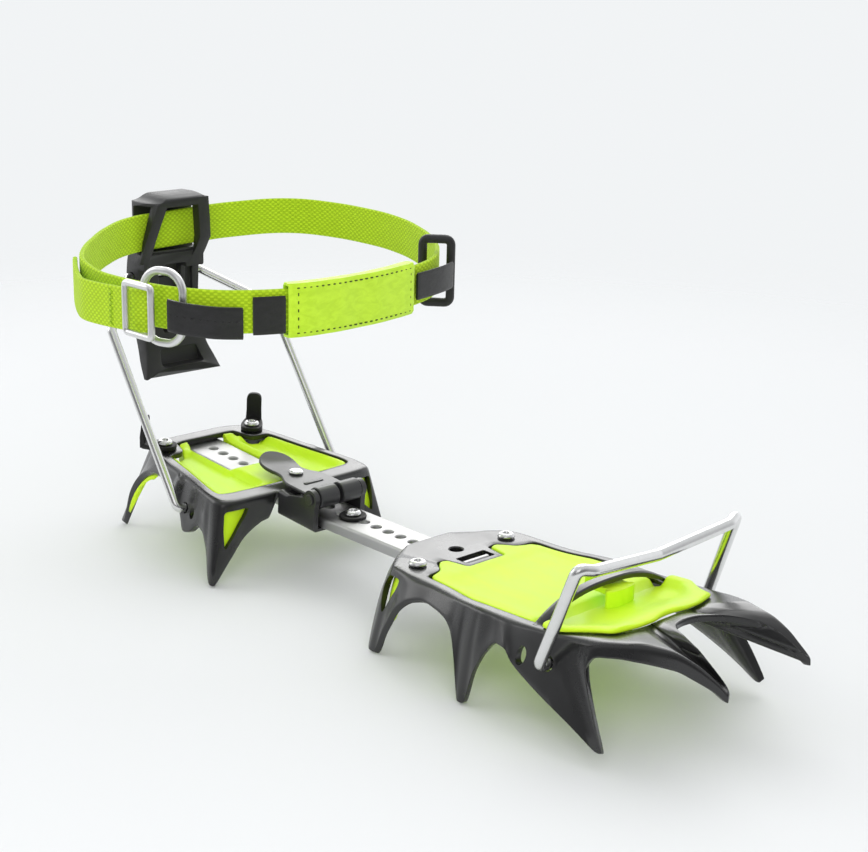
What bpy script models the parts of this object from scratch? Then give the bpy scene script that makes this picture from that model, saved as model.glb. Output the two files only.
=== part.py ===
"""One strap-on mountaineering crampon: front section, heel section and linking bar, with toe bail, heel lever and ankle strap.

Millimetres below are turned into metres when a mesh is made. +X is towards the toe, +Y the wearer's left, +Z up.
The ground is z = 0, under the tips of the vertical points, and the origin is under the middle of the whole crampon.
"""

import math

import bmesh
import bpy
from mathutils import Matrix, Vector

MM = 0.001

# ---------------------------------------------------------------- driving dimensions (mm)
SHEET = 2.4            # plate steel of both frames
SHIFT_X = 18.4         # moves the layout so that the box is centred on the origin
SHIFT_Y = 8.735        # the ankle strap hangs more to one side
SHIFT_Z = 0.47         # the tips of the points rest on z = 0

HEEL_X, HEEL_Z = -89.3, 31.7     # front line of the heel platform, top face
HEEL_PITCH = 4.0                 # the rear of the link bar rises by this many degrees

BAR_HALF, BAR_T, BAR_FLANGE = 9.2, 1.8, 4.2
BAR_DROP = 3.2                   # bar top below the heel platform
HOLE_PITCH, HOLE_R = 6.85, 1.9
BEND_X = -57.0                   # where the bar turns level

BAIL_R, HEEL_WIRE_R = 2.0, 1.8
BAIL_X, BAIL_Z = 85.9, 24.2      # toe bail pivot
WIRE_X, WIRE_Z = -107.6, 22.8    # heel wire pivot
LEVER_X, LEVER_Z = -174.0, 100.5 # heel lever pivot
KNUCKLE_X, KNUCKLE_Z = 28.6, 3.6 # adjuster hinge, in heel coordinates

WEB_W, WEB_T = 15.0, 1.8         # ankle webbing


# ---------------------------------------------------------------- scene and materials
for old in list(bpy.data.objects):
    bpy.data.objects.remove(old, do_unlink=True)


def material(name, colour, rough, metal):
    mat = bpy.data.materials.new(name)
    mat.use_nodes = True
    shader = mat.node_tree.nodes["Principled BSDF"]
    shader.inputs["Base Color"].default_value = (*colour, 1)
    shader.inputs["Roughness"].default_value = rough
    shader.inputs["Metallic"].default_value = metal
    return mat


BLACK_STEEL = material("black_steel", (0.03, 0.03, 0.032), 0.35, 0.3)
LIME_PLASTIC = material("lime_plastic", (0.60, 0.90, 0.03), 0.4, 0.0)
LIME_WEBBING = material("lime_webbing", (0.42, 0.68, 0.01), 0.85, 0.0)
BARE_STEEL = material("bare_steel", (0.62, 0.62, 0.61), 0.3, 1.0)
BLACK_PLASTIC = material("black_plastic", (0.025, 0.025, 0.027), 0.5, 0.0)
BLACK_RUBBER = material("black_rubber", (0.015, 0.015, 0.015), 0.7, 0.0)


def empty(name, at, pitch=0.0, parent=None):
    node = bpy.data.objects.new(name, None)
    bpy.context.collection.objects.link(node)
    node.location = Vector(at) * MM
    node.rotation_euler = (0, math.radians(pitch), 0)
    node.parent = parent
    return node


def world(x, y, z):
    """Layout coordinates to the part's own frame, in mm."""
    return Vector((x + SHIFT_X, y + SHIFT_Y, z + SHIFT_Z))


HEEL_ROOT = empty("heel_datum", world(HEEL_X, 0, HEEL_Z), HEEL_PITCH)


def on_heel(x, y, z):
    """A point given in heel coordinates, as layout coordinates."""
    a = math.radians(HEEL_PITCH)
    return Vector((HEEL_X + x * math.cos(a) + z * math.sin(a), y, HEEL_Z - x * math.sin(a) + z * math.cos(a)))


def place(name, mesh, mat, origin=(0, 0, 0), heel=False):
    """An object whose mesh is given about its own origin; the origin is in layout or in heel coordinates."""
    obj = bpy.data.objects.new(name, mesh)
    bpy.context.collection.objects.link(obj)
    mesh.materials.clear()
    mesh.materials.append(mat)
    if heel:
        obj.parent = HEEL_ROOT
        obj.location = Vector(origin) * MM
    else:
        obj.location = world(*origin) * MM
    mesh.shade_smooth()
    mesh.set_sharp_from_angle(angle=math.radians(38))
    return obj


def mesh_of(name, verts, faces, origin=(0, 0, 0)):
    mesh = bpy.data.meshes.new(name)
    mesh.from_pydata([(Vector(v) - Vector(origin)) * MM for v in verts], [], faces)
    bm = bmesh.new()
    bm.from_mesh(mesh)
    bmesh.ops.recalc_face_normals(bm, faces=bm.faces)
    bm.to_mesh(mesh)
    bm.free()
    return mesh


def baked(obj):
    """Gives the object the mesh its modifiers make, so that later cuts work on it."""
    graph = bpy.context.evaluated_depsgraph_get()
    mesh = bpy.data.meshes.new_from_object(obj.evaluated_get(graph))
    obj.modifiers.clear()
    obj.data = mesh
    mesh.shade_smooth()
    mesh.set_sharp_from_angle(angle=math.radians(38))
    return obj


def combine(obj, others, operation):
    """Boolean of closed bodies, then the tools go."""
    for other in others:
        mod = obj.modifiers.new(operation.lower(), "BOOLEAN")
        mod.operation = operation
        mod.solver = "EXACT"
        mod.object = other
    bpy.context.view_layer.update()
    baked(obj)
    for other in others:
        bpy.data.objects.remove(other, do_unlink=True)
    return obj


# ---------------------------------------------------------------- plain solids
def prism(name, outline, low, high, mat, axis="z", heel=False, lift=None, origin=(0, 0, 0)):
    """A flat outline extruded along an axis. lift(x, y) raises both faces, for plates that follow a curved rail."""
    def point(u, v, w):
        if axis == "z":
            return (u, v, w + (lift(u, v) if lift else 0.0))
        if axis == "y":
            return (u, w, v)
        return (w, u, v)
    n = len(outline)
    verts = [point(u, v, low) for u, v in outline] + [point(u, v, high) for u, v in outline]
    faces = [tuple(range(n))[::-1], tuple(range(n, 2 * n))]
    faces += [(i, (i + 1) % n, n + (i + 1) % n, n + i) for i in range(n)]
    return place(name, mesh_of(name, verts, faces, origin), mat, origin, heel)


def box(name, lo, hi, mat, heel=False, origin=(0, 0, 0)):
    outline = [(lo[0], lo[1]), (hi[0], lo[1]), (hi[0], hi[1]), (lo[0], hi[1])]
    return prism(name, outline, lo[2], hi[2], mat, "z", heel, None, origin)


def round_outline(cx, cy, rx, ry=None, n=16):
    ry = ry or rx
    return [(cx + rx * math.cos(2 * math.pi * i / n), cy + ry * math.sin(2 * math.pi * i / n)) for i in range(n)]


def turned(name, profile, centre, mat, n=20, heel=False):
    """A profile of (radius, height) pairs turned about Z at the centre. The first and last radius are 0."""
    verts, faces = [], []
    rings = []
    for r, z in profile:
        if r == 0:
            rings.append([len(verts)])
            verts.append((centre[0], centre[1], centre[2] + z))
        else:
            rings.append(list(range(len(verts), len(verts) + n)))
            verts += [(centre[0] + r * math.cos(2 * math.pi * i / n), centre[1] + r * math.sin(2 * math.pi * i / n), centre[2] + z) for i in range(n)]
    for a, b in zip(rings[:-1], rings[1:]):
        for i in range(n):
            j = (i + 1) % n
            quad = [a[i % len(a)], a[j % len(a)], b[j % len(b)], b[i % len(b)]]
            face = list(dict.fromkeys(quad))
            if len(face) > 2:
                faces.append(face)
    return place(name, mesh_of(name, verts, faces, centre), mat, centre, heel)


def rounded_path(corners, radius, step=4):
    """An open run through corner points with each inner corner turned into an arc."""
    points = [Vector(corners[0])]
    for i in range(1, len(corners) - 1):
        a, b, c = Vector(corners[i - 1]), Vector(corners[i]), Vector(corners[i + 1])
        d0, d1 = (a - b).normalized(), (c - b).normalized()
        half = d0.angle(d1) / 2
        cut = min(radius / math.tan(half), 0.45 * (a - b).length, 0.45 * (c - b).length)
        p0, p1 = b + d0 * cut, b + d1 * cut
        for k in range(step + 1):
            t = k / step
            points.append(p0 * (1 - t) ** 2 + b * 2 * t * (1 - t) + p1 * t ** 2)
    points.append(Vector(corners[-1]))
    return points


def wire(name, points, radius, mat, origin=(0, 0, 0), cyclic=False, sides=2):
    """A round wire along the points."""
    curve = bpy.data.curves.new(name, "CURVE")
    curve.dimensions = "3D"
    spline = curve.splines.new("POLY")
    spline.points.add(len(points) - 1)
    for slot, p in zip(spline.points, points):
        slot.co = (*((Vector(p) - Vector(origin)) * MM), 1)
    spline.use_cyclic_u = cyclic
    curve.bevel_depth = radius * MM
    curve.bevel_resolution = sides
    curve.use_fill_caps = not cyclic
    curve.materials.append(mat)
    obj = bpy.data.objects.new(name, curve)
    bpy.context.collection.objects.link(obj)
    obj.location = world(*origin) * MM
    return obj


def tube_along(name, stations, mat, origin=(0, 0, 0), closed=False):
    """A body lofted through stations, each a ring of the same number of points."""
    n = len(stations[0])
    verts = [p for ring in stations for p in ring]
    faces = []
    last = len(stations) if closed else len(stations) - 1
    for s in range(last):
        a, b = s * n, ((s + 1) % len(stations)) * n
        faces += [(a + i, a + (i + 1) % n, b + (i + 1) % n, b + i) for i in range(n)]
    if not closed:
        faces += [tuple(range(n))[::-1], tuple(range((len(stations) - 1) * n, len(stations) * n))]
    return place(name, mesh_of(name, verts, faces, origin), mat, origin)


# ---------------------------------------------------------------- pressed frames
def section(inner, ridge, lower, radius):
    """The closed section of a frame at one station: rail, rounded edge and wall, then back along the underside.

    A station whose lower point is its ridge has no wall, and ends in a square cut edge.
    """
    inner, ridge, lower = Vector(inner), Vector(ridge), Vector(lower)
    rail = inner - ridge
    r = rail.normalized()
    n1 = (Vector((0, 0, 1)) - r * r.z).normalized()
    if (lower - ridge).length < 0.01:
        top = [ridge + rail * f for f in (1, 0.45, 0.2, 0.05, 0)] + [ridge - n1 * SHEET * 0.5]
        under = [ridge + rail * f - n1 * SHEET for f in (1, 0.5, 0.25, 0.1, 0.03, 0)]
        return top + under[::-1]
    fall = lower - ridge
    f = fall.normalized()
    n2 = (r - f * r.dot(f)).normalized()
    corner = ridge + r * (SHEET / r.dot(n2)) + f * (SHEET / abs(f.dot(n1)))
    rad_in, rad_out = min(radius, 0.4 * rail.length), min(radius, 0.4 * fall.length)
    start, end = ridge + r * rad_in, ridge + f * rad_out
    top = [inner, start, (start + ridge * 2 + end) / 4, end, ridge + fall * 0.62, lower]
    under = [inner - n1 * SHEET, corner + r * 0.5, corner + (r + f) * 0.12, corner + f * 0.5, ridge + fall * 0.66 + n2 * SHEET, lower + n2 * SHEET]
    return top + under[::-1]


def pressed_frame(name, half, mat, heel, radius=2.2):
    """A ring of plate steel: stations down one side from the rear middle to the front middle, mirrored to the other."""
    far = [section(*c, radius) for c in half]
    near = [[Vector((p.x, -p.y, p.z)) for p in col] for col in far]
    columns = near + far[-2:0:-1]
    rows = len(columns[0])
    verts = [p for col in columns for p in col]
    faces = []
    for c in range(len(columns)):
        a, b = c * rows, ((c + 1) % len(columns)) * rows
        faces += [(a + i, a + (i + 1) % rows, b + (i + 1) % rows, b + i) for i in range(rows)]
    return place(name, mesh_of(name, verts, faces), mat, (0, 0, 0), heel)


# Each station is (inner edge of the rail, ridge, lower edge of the wall) as (x, half width, z).
def spread(x):
    """Half width of the front section's ridge and its height, along the length."""
    table = [(-10, 22, 30.0), (5, 28.8, 30.4), (13, 30.4, 30.3), (29, 30.9, 30.4), (37, 31.9, 30.5), (45, 33.5, 31.0),
             (53, 34.7, 31.5), (69, 34.1, 31.8), (85, 33.4, 33.0), (101, 31.7, 35.1), (109, 29.4, 36.5), (117, 26.2, 37.7),
             (125, 23.9, 37.6), (133, 22.3, 35.6), (139, 21.0, 32.4), (143, 20.0, 29.2)]
    for (x0, w0, z0), (x1, w1, z1) in zip(table[:-1], table[1:]):
        if x <= x1:
            t = max(0.0, (x - x0) / (x1 - x0))
            return w0 + (w1 - w0) * t, z0 + (z1 - z0) * t
    return table[-1][1], table[-1][2]


def rail_top(x):
    return spread(x)[1]


def front_station(inner, ridge_x, lower):
    w, z = spread(ridge_x)
    return ((inner[0], inner[1], rail_top(inner[0])), (ridge_x, w, z), lower)


FRONT = [
    ((21.5, 0, 30.0), (-8.6, 0, 30.0), (-8.6, 0, 30.0)),
    ((21.5, 8.5, 30.0), (-8.4, 9.5, 30.0), (-8.4, 9.5, 30.0)),
    ((12.5, 10.0, 30.0), (-7.0, 13.2, 30.0), (-8.8, 13.8, 25.6)),
    ((11.5, 13.5, 30.0), (-4.2, 17.8, 30.0), (-6.6, 19.2, 24.6)),
    ((14.0, 16.0, 30.2), (-0.8, 22.5, 30.4), (-3.6, 25.0, 21.0)),
    ((17.0, 18.0, 30.2), (2.2, 26.3, 30.4), (-0.8, 31.0, 11.0)),
    ((18.5, 21.5, 30.2), (4.6, 28.4, 30.4), (2.4, 36.0, -0.07)),
    ((18.8, 24.0, 30.2), (7.0, 29.2, 30.4), (4.6, 36.4, 0.0)),
    front_station((20, 26.0), 10.5, (8.6, 36.2, 9.6)),
    front_station((22, 26.6), 15, (13.5, 35.8, 19.0)),
    front_station((25, 26.8), 20, (19.5, 34.8, 23.8)),
    front_station((29, 27.0), 26.5, (26.0, 34.0, 25.2)),
    front_station((34, 27.6), 33, (33.0, 35.0, 24.8)),
    front_station((39, 28.6), 38.5, (38.5, 36.0, 23.6)),
    front_station((42.5, 29.4), 42, (42.8, 37.2, 20.5)),
    front_station((45, 29.8), 45, (46.6, 38.6, 13.5)),
    front_station((47.5, 30.0), 47.5, (50.2, 40.0, 2.6)),
    front_station((49.5, 30.0), 49.5, (51.6, 40.4, 0.0)),
    front_station((51.5, 30.0), 52, (53.4, 40.4, 0.0)),
    front_station((54, 30.0), 55, (56.8, 39.4, 12.0)),
    front_station((56.5, 30.0), 58, (60.4, 38.4, 19.8)),
    front_station((59.5, 29.8), 61, (64.2, 38.0, 24.2)),
    front_station((63, 29.6), 64.5, (68.6, 38.8, 24.2)),
    front_station((66.5, 29.6), 68, (72.8, 39.4, 20.8)),
    front_station((70, 29.6), 71.5, (79.6, 40.2, 17.8)),
    front_station((74, 29.6), 75, (89.5, 41.0, 14.0)),
    front_station((78, 29.6), 79, (99.3, 41.2, 10.2)),
    front_station((82, 29.6), 83, (104.2, 41.2, 8.0)),
    front_station((85.5, 29.0), 87, (111.4, 41.0, 4.9)),
    front_station((88.5, 28.4), 90.5, (112.9, 40.8, 5.4)),
    front_station((91.5, 27.0), 94, (108.4, 39.4, 14.0)),
    front_station((94.5, 25.2), 97, (103.2, 37.6, 22.0)),
    front_station((97, 23.2), 99.5, (100.4, 35.8, 27.0)),
    front_station((99, 21.2), 102, (101.4, 33.6, 30.2)),
    front_station((100.6, 19.2), 105.5, (106.2, 31.8, 31.4)),
    front_station((101.8, 17.2), 110, (111.2, 30.0, 32.0)),
    front_station((102.4, 15.4), 117, (118.2, 27.0, 32.0)),
    front_station((102.7, 13.8), 125, (126.0, 24.5, 32.0)),
    front_station((102.9, 12.4), 133, (133.4, 22.8, 30.4)),
    front_station((103, 11.2), 139, (139.2, 21.4, 28.6)),
    ((103, 10.2, 35.4), (143.0, 20.4, 29.6), (143.2, 20.5, 26.4)),
    ((103, 9.2, 35.4), (142.8, 19.6, 29.8), (142.8, 19.6, 29.8)),
    ((103, 8.2, 35.5), (133.4, 17.6, 35.4), (133.4, 17.6, 35.4)),
    ((103, 7.2, 35.5), (127, 15.6, 37.4), (127, 15.6, 37.4)),
    ((103, 6.0, 35.5), (120, 12.4, 37.8), (120, 12.4, 37.8)),
    ((103, 4.4, 35.6), (113.5, 8.4, 37.2), (113.5, 8.4, 37.2)),
    ((103, 2.4, 35.6), (110, 4.0, 36.7), (110, 4.0, 36.7)),
    ((103, 0, 35.6), (109.2, 0, 36.5), (109.2, 0, 36.5)),
]

HEEL = [
    ((-57.0, 0, 0), (-64.6, 0, 0), (-65.4, 0, -4.6)),
    ((-57.0, 9.0, 0), (-64.6, 9, 0), (-65.4, 9, -4.6)),
    ((-56.3, 14.0, 0), (-64.2, 15, 0), (-65.4, 16, -5.2)),
    ((-51.5, 15.6, 0), (-62.8, 20, 0), (-65.6, 22, -9.0)),
    ((-47.5, 17.5, 0), (-61.0, 23.2, 0), (-67.6, 26.6, -21.0)),
    ((-46.6, 20.0, 0), (-59.0, 25.2, 0), (-72.4, 30.0, -36.1)),
    ((-46.4, 22.4, 0), (-56.6, 26.3, 0), (-70.8, 30.6, -36.1)),
    ((-45.5, 24.4, 0), (-53.2, 27.3, 0), (-64.4, 31.2, -20.0)),
    ((-43, 25.4, 0), (-49, 28.3, 0), (-57.4, 31.4, -11.0)),
    ((-39, 26.2, 0), (-44, 29.3, 0), (-49.6, 32.0, -6.4)),
    ((-35, 26.9, 0), (-38, 30.4, 0), (-41.5, 33.0, -5.2)),
    ((-30, 27.8, 0), (-31, 31.6, 0), (-32.5, 34.2, -5.4)),
    ((-24, 29.0, 0), (-24.5, 33.0, 0), (-24.5, 36.2, -7.5)),
    ((-19, 30.0, 0), (-19.5, 34.0, 0), (-19.4, 38.0, -14.5)),
    ((-15, 30.9, 0), (-15.5, 34.8, 0), (-15.4, 39.3, -18.8)),
    ((-11.5, 31.6, 0), (-12, 35.5, 0), (-11.2, 39.4, -17.4)),
    ((-8, 32.3, 0), (-8.6, 36.1, 0), (-6.6, 39.0, -13.6)),
    ((-5, 32.6, 0), (-5.2, 36.7, 0), (-2.6, 39.6, -14.4)),
    ((-2.8, 32.4, 0), (-2, 37.2, 0), (1.2, 40.6, -19.0)),
    ((-1.6, 31.4, 0), (1.6, 37.4, 0), (9.8, 44.4, -30.85)),
    ((-1.0, 29.6, 0), (5.0, 36.6, 0), (11.4, 43.6, -30.85)),
    ((-0.6, 27.4, 0), (7.2, 33.8, 0), (9.0, 34.0, -23.0)),
    ((-0.4, 24.4, 0), (8.2, 30, 0), (6.4, 25.6, -16.6)),
    ((-0.2, 20.0, 0), (8.6, 23.5, 0), (5.4, 19.5, -13.8)),
    ((0, 15.0, 0), (8.8, 17.4, 0), (5.2, 16.2, -12.6)),
    ((0, 11.0, 0), (8.8, 13.4, 0), (5.2, 13.4, -12.0)),
    ((0, 9.0, 0), (8.8, 12.0, 0), (8.8, 12.0, 0)),
    ((0, 0, 0), (8.8, 0, 0), (8.8, 0, 0)),
]

front_frame = pressed_frame("front_frame", FRONT, BLACK_STEEL, False)
heel_frame = pressed_frame("heel_frame", HEEL, BLACK_STEEL, True)


def strut_point(x, y, above):
    """The arched cross strut of the front section rises towards the middle."""
    edge, z = spread(x)
    return z - 2.1 + 8.3 * (1 - min(1.0, abs(y) / 31.0) ** 2.6) + above


strut_rings = []
for i in range(17):
    y = -31.8 + 63.6 * i / 16
    strut_rings.append([(74.2, y, strut_point(75, y, 0)), (78.0, y, strut_point(75, y, 0)), (78.0, y, strut_point(75, y, 2.2)), (74.2, y, strut_point(75, y, 2.2))])
strut = tube_along("strut_tool", strut_rings, BLACK_STEEL)
combine(front_frame, [strut], "UNION")

cutters = [
    prism("cut_slot", [(13.2, -7), (19.2, -7), (19.2, 7), (13.2, 7)], 24, 36, BLACK_STEEL),
    prism("cut_hole", round_outline(6.4, 0, 2.7), 24, 36, BLACK_STEEL),
    prism("cut_rivet_r", round_outline(9.9, -21.7, 2.3), 24, 36, BLACK_STEEL),
    prism("cut_rivet_l", round_outline(9.9, 21.7, 2.3), 24, 36, BLACK_STEEL),
]
for side in (-1, 1):
    cutters.append(prism("cut_bail", round_outline(BAIL_X, BAIL_Z, 2.5), side * 30, side * 47, BLACK_STEEL, "y"))
    cutters.append(prism("cut_oval", round_outline(75.6, 23.6, 1.9, 2.9), side * 30, side * 47, BLACK_STEEL, "y"))
    # Window in each rear corner, where the anti-balling plate shows through the folded wall.
    window = [(1.2, 22.5), (4.2, 27.2), (11.0, 27.6), (10.4, 24.2), (7.6, 19.4), (4.6, 13.6)]
    cutters.append(prism("cut_window", window, side * 24.5, side * 46, BLACK_STEEL, "y"))
combine(front_frame, cutters, "DIFFERENCE")

cutters = []
for side in (-1, 1):
    cutters.append(prism("cut_rivet", round_outline(-53.5, side * 22.0, 2.3), -6, 4, BLACK_STEEL, heel=True))
    cutters.append(prism("cut_wire", round_outline(-17.6, -10.15, 2.2), side * 30, side * 46, BLACK_STEEL, "y", True))
    cutters.append(prism("cut_oval", round_outline(-11.9, -10.3, 1.6, 2.3), side * 30, side * 46, BLACK_STEEL, "y", True))
    front_window = [(side * 36.2, -3.8), (side * 25.0, -3.8), (side * 26.2, -7.4), (side * 32.2, -14.4), (side * 37.2, -19.0), (side * 37.2, -11)]
    cutters.append(prism("cut_front_window", front_window, 1.5, 14, BLACK_STEEL, "x", True))
combine(heel_frame, cutters, "DIFFERENCE")

# ---------------------------------------------------------------- anti-balling plates
def mirrored(half):
    return [(x, -w) for x, w in half] + [(x, w) for x, w in reversed(half) if w > 0.01]


def rise(x, y):
    return rail_top(x) - 30.4


front_plate_half = [(22.0, 0), (22.0, 9.0), (13.2, 10.6), (12.2, 13.4), (14.8, 16.2), (17.8, 18.4), (19.3, 21.8), (19.8, 24.2), (22.6, 25.9), (29.2, 26.4),
                    (34, 27.0), (39, 28.0), (45, 29.2), (57, 29.3), (66, 29.0), (78.0, 29.0), (78.0, 0)]
front_plate = prism("front_antiball_plate", mirrored(front_plate_half), 25.6, 30.0, LIME_PLASTIC, lift=rise)
# Relief under the arched strut, and hollows that leave room for the bar's hook.
relief = prism("cut_relief", [(71.6, -34), (80, -34), (80, 34), (71.6, 34)], 29.2, 45, LIME_PLASTIC)
combine(front_plate, [relief], "DIFFERENCE")

def stepped(table, x):
    """Straight-line value of a table of (x, value) pairs."""
    for (x0, v0), (x1, v1) in zip(table[:-1], table[1:]):
        if x <= x1:
            return v0 + (v1 - v0) * max(0.0, x - x0) / (x1 - x0)
    return table[-1][1]


# The body fits between the rails, the lip lies over them all round, and the dish inside runs out at the nose.
toe_sections = []
for x in (78.6, 82.0, 86.6, 90.3, 94.0, 96.0, 97.7, 99.5, 100.8, 101.8, 102.9, 103.9):
    lip = stepped([(78.6, 32.9), (86.6, 32.4), (90.3, 29.8), (94.0, 27.2), (97.7, 25.4), (101.4, 23.4), (103.9, 15.2)], x)
    body = stepped([(78.6, 28.6), (85.2, 28.4), (88.2, 27.7), (91.2, 26.0), (94.0, 24.4), (96.4, 22.5), (98.4, 20.4), (100.0, 18.2), (101.2, 15.8), (101.9, 12.6), (103.9, 11.5)], x)
    low = stepped([(78.6, 26.6), (100.8, 26.6), (101.8, 30.9), (103.9, 31.0)], x)
    dish = stepped([(78.6, 26.4), (86, 25.8), (92, 21.6), (96, 17), (98, 8), (103.9, 6)], x)
    floor = stepped([(78.6, 29.8), (94.0, 29.8), (98.5, 32.0), (103.9, 32.1)], x)
    over = stepped([(78.6, 30.75), (90, 30.8), (97, 31.15), (103.9, 31.3)], x)
    half = [(low, body), (over, body), (over, lip), (over + 1.5, lip), (over + 1.5, dish), (floor, dish - 0.4)]
    up = rise(x, 0)
    toe_sections.append([(x, -w, z + up) for z, w in half] + [(x, w, z + up) for z, w in reversed(half)])
toe_plate = tube_along("toe_antiball_plate", toe_sections, LIME_PLASTIC)
clip = [box("clip_a", (79.9, -1, 28.8), (82.1, 9, 37.4), LIME_PLASTIC), box("clip_b", (68.6, -1, 35.4), (82.1, 9, 37.4), LIME_PLASTIC), box("clip_c", (68.6, -1, 35.4), (72.9, 9, 41.0), LIME_PLASTIC)]
combine(toe_plate, clip, "UNION")

heel_plate_half = [(-56.8, 0), (-56.8, 9.4), (-55.8, 13.6), (-51.0, 15.0), (-46.9, 17.0), (-46.0, 19.8), (-45.7, 22.0), (-44.9, 23.9), (-42.6, 24.9), (-38.8, 25.7),
                   (-30, 27.3), (-24, 28.5), (-15, 30.4), (-8, 31.8), (-5, 32.1), (-3.2, 31.9), (-2.2, 31.1), (-1.6, 29.4), (-1.2, 27.2), (-1.0, 24.2), (-0.8, 20), (-0.6, 0)]
heel_plate = prism("heel_antiball_plate", mirrored(heel_plate_half), -7.6, -0.6, LIME_PLASTIC, heel=True)
channel = box("cut_channel", (-70, -BAR_HALF - 0.5, -12), (20, BAR_HALF + 0.5, -BAR_DROP + 0.6), LIME_PLASTIC, True)
sight = box("cut_sight", (-70, -8.6, -12), (-24, 8.6, 5), LIME_PLASTIC, True)
combine(heel_plate, [channel, sight], "DIFFERENCE")

# ---------------------------------------------------------------- rivets and stop tabs
def rivet(name, centre, head, shank, grip, mat, heel=False):
    profile = [(0, -grip - 1.4), (shank + 0.9, -grip - 1.4), (shank + 0.9, -grip), (shank, -grip), (shank, 0), (head, 0), (head, 0.5), (head * 0.72, 1.3), (0, 1.55)]
    return turned(name, profile, centre, mat, 20, heel)


rivet("front_rivet_right", (9.9, -21.7, 30.75), 3.2, 1.9, 3.1, BARE_STEEL)
rivet("front_rivet_left", (9.9, 21.7, 30.75), 3.2, 1.9, 3.1, BARE_STEEL)
for label, side in (("right", -1), ("left", 1)):
    rivet("heel_rivet_" + label, (-53.5, side * 22.0, 2.5), 3.1, 1.9, 5.3, BARE_STEEL, True)
    # Rubber stop: a flat foot under the rivet head and an upright tongue behind it, against the boot heel.
    x, y = -53.5, side * 22.0
    d = Vector((-7.1, side * 6.5)).normalized()
    n = Vector((-d.y, d.x))
    plan = [(x + d.x * a + n.x * b, y + d.y * a + n.y * b) for a, b in ((-4.6, -2.6), (-4.6, 2.6), (-1.5, 4.6), (3.0, 4.4), (9.4, 3.3), (9.4, -3.3), (3.0, -4.4), (-1.5, -4.6))]
    foot = prism("heel_stop_tab_" + label, plan, 0.35, 2.1, BLACK_RUBBER, heel=True)
    plan = [(x + d.x * a + n.x * b, y + d.y * a + n.y * b) for a, b in ((7.4, -3.0), (7.4, 3.0), (9.1, 3.0), (9.1, -3.0))]
    up = prism("tongue", plan, 0.8, 13.4, BLACK_RUBBER, heel=True)
    combine(foot, [up], "UNION")
    combine(foot, [prism("cut", round_outline(x, y, 2.25), -2, 2.9, BLACK_RUBBER, heel=True)], "DIFFERENCE")

# ---------------------------------------------------------------- linking bar
def bar_height(x):
    """Top of the bar, level in front of the bend and rising behind it."""
    base = on_heel(0, 0, -BAR_DROP)
    slope = math.tan(math.radians(HEEL_PITCH))
    at_bend = base.z - slope * (BEND_X - base.x)
    return at_bend - slope * (x - BEND_X) if x < BEND_X else at_bend


def bar_section(x, narrow=0.0):
    z = bar_height(x)
    w = BAR_HALF - narrow
    f = BAR_FLANGE * (1 - 0.9 * narrow / 4.0)
    return [(x, -w, z - f), (x, -w, z - 0.9), (x, -w + 0.9, z), (x, w - 0.9, z), (x, w, z - 0.9), (x, w, z - f),
            (x, w - BAR_T, z - f), (x, w - BAR_T, z - BAR_T), (x, -w + BAR_T, z - BAR_T), (x, -w + BAR_T, z - f)]


stations = [bar_section(x) for x in (-149.5, -100, BEND_X - 0.6, BEND_X + 0.6, -30, -8)]
stations += [bar_section(-3, 2.6), bar_section(14.4, 2.6)]
spine_bar = tube_along("spine_bar", stations, BARE_STEEL, (16.2, 0, 24.0))
hook_z = bar_height(0)
hook = [(12.0, hook_z - BAR_T), (12.0, hook_z), (15.0, hook_z), (15.4, hook_z + 2.2), (15.6, hook_z + 3.3), (17.2, hook_z + 3.3), (17.6, hook_z + 2.0), (17.4, hook_z - BAR_T)]
hook_tool = prism("hook", hook, -5.8, 5.8, BARE_STEEL, "y")
combine(spine_bar, [hook_tool], "UNION")
bar_holes = []
for i in range(19):
    x = -139.6 + HOLE_PITCH * i
    if abs(x + 50.2) > 5:
        bar_holes.append(prism("hole", round_outline(x, 0, HOLE_R, n=12), bar_height(x) - 6, bar_height(x) + 4, BARE_STEEL))
bar_holes.append(prism("hole", round_outline(-50.2, 0, 2.0), bar_height(-50.2) - 6, bar_height(-50.2) + 4, BARE_STEEL))
combine(spine_bar, bar_holes, "DIFFERENCE")

stop_z = bar_height(-50.2)
washer = turned("bar_stop_washer", [(2.2, 0.3), (5.2, 0.3), (5.2, 1.3), (2.2, 1.3), (2.2, 0.3)], (-50.2, 0, stop_z), BLACK_STEEL)
rivet("bar_stop_rivet", (-50.2, 0, stop_z + 1.6), 3.1, 1.7, 3.8, BARE_STEEL)

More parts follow.
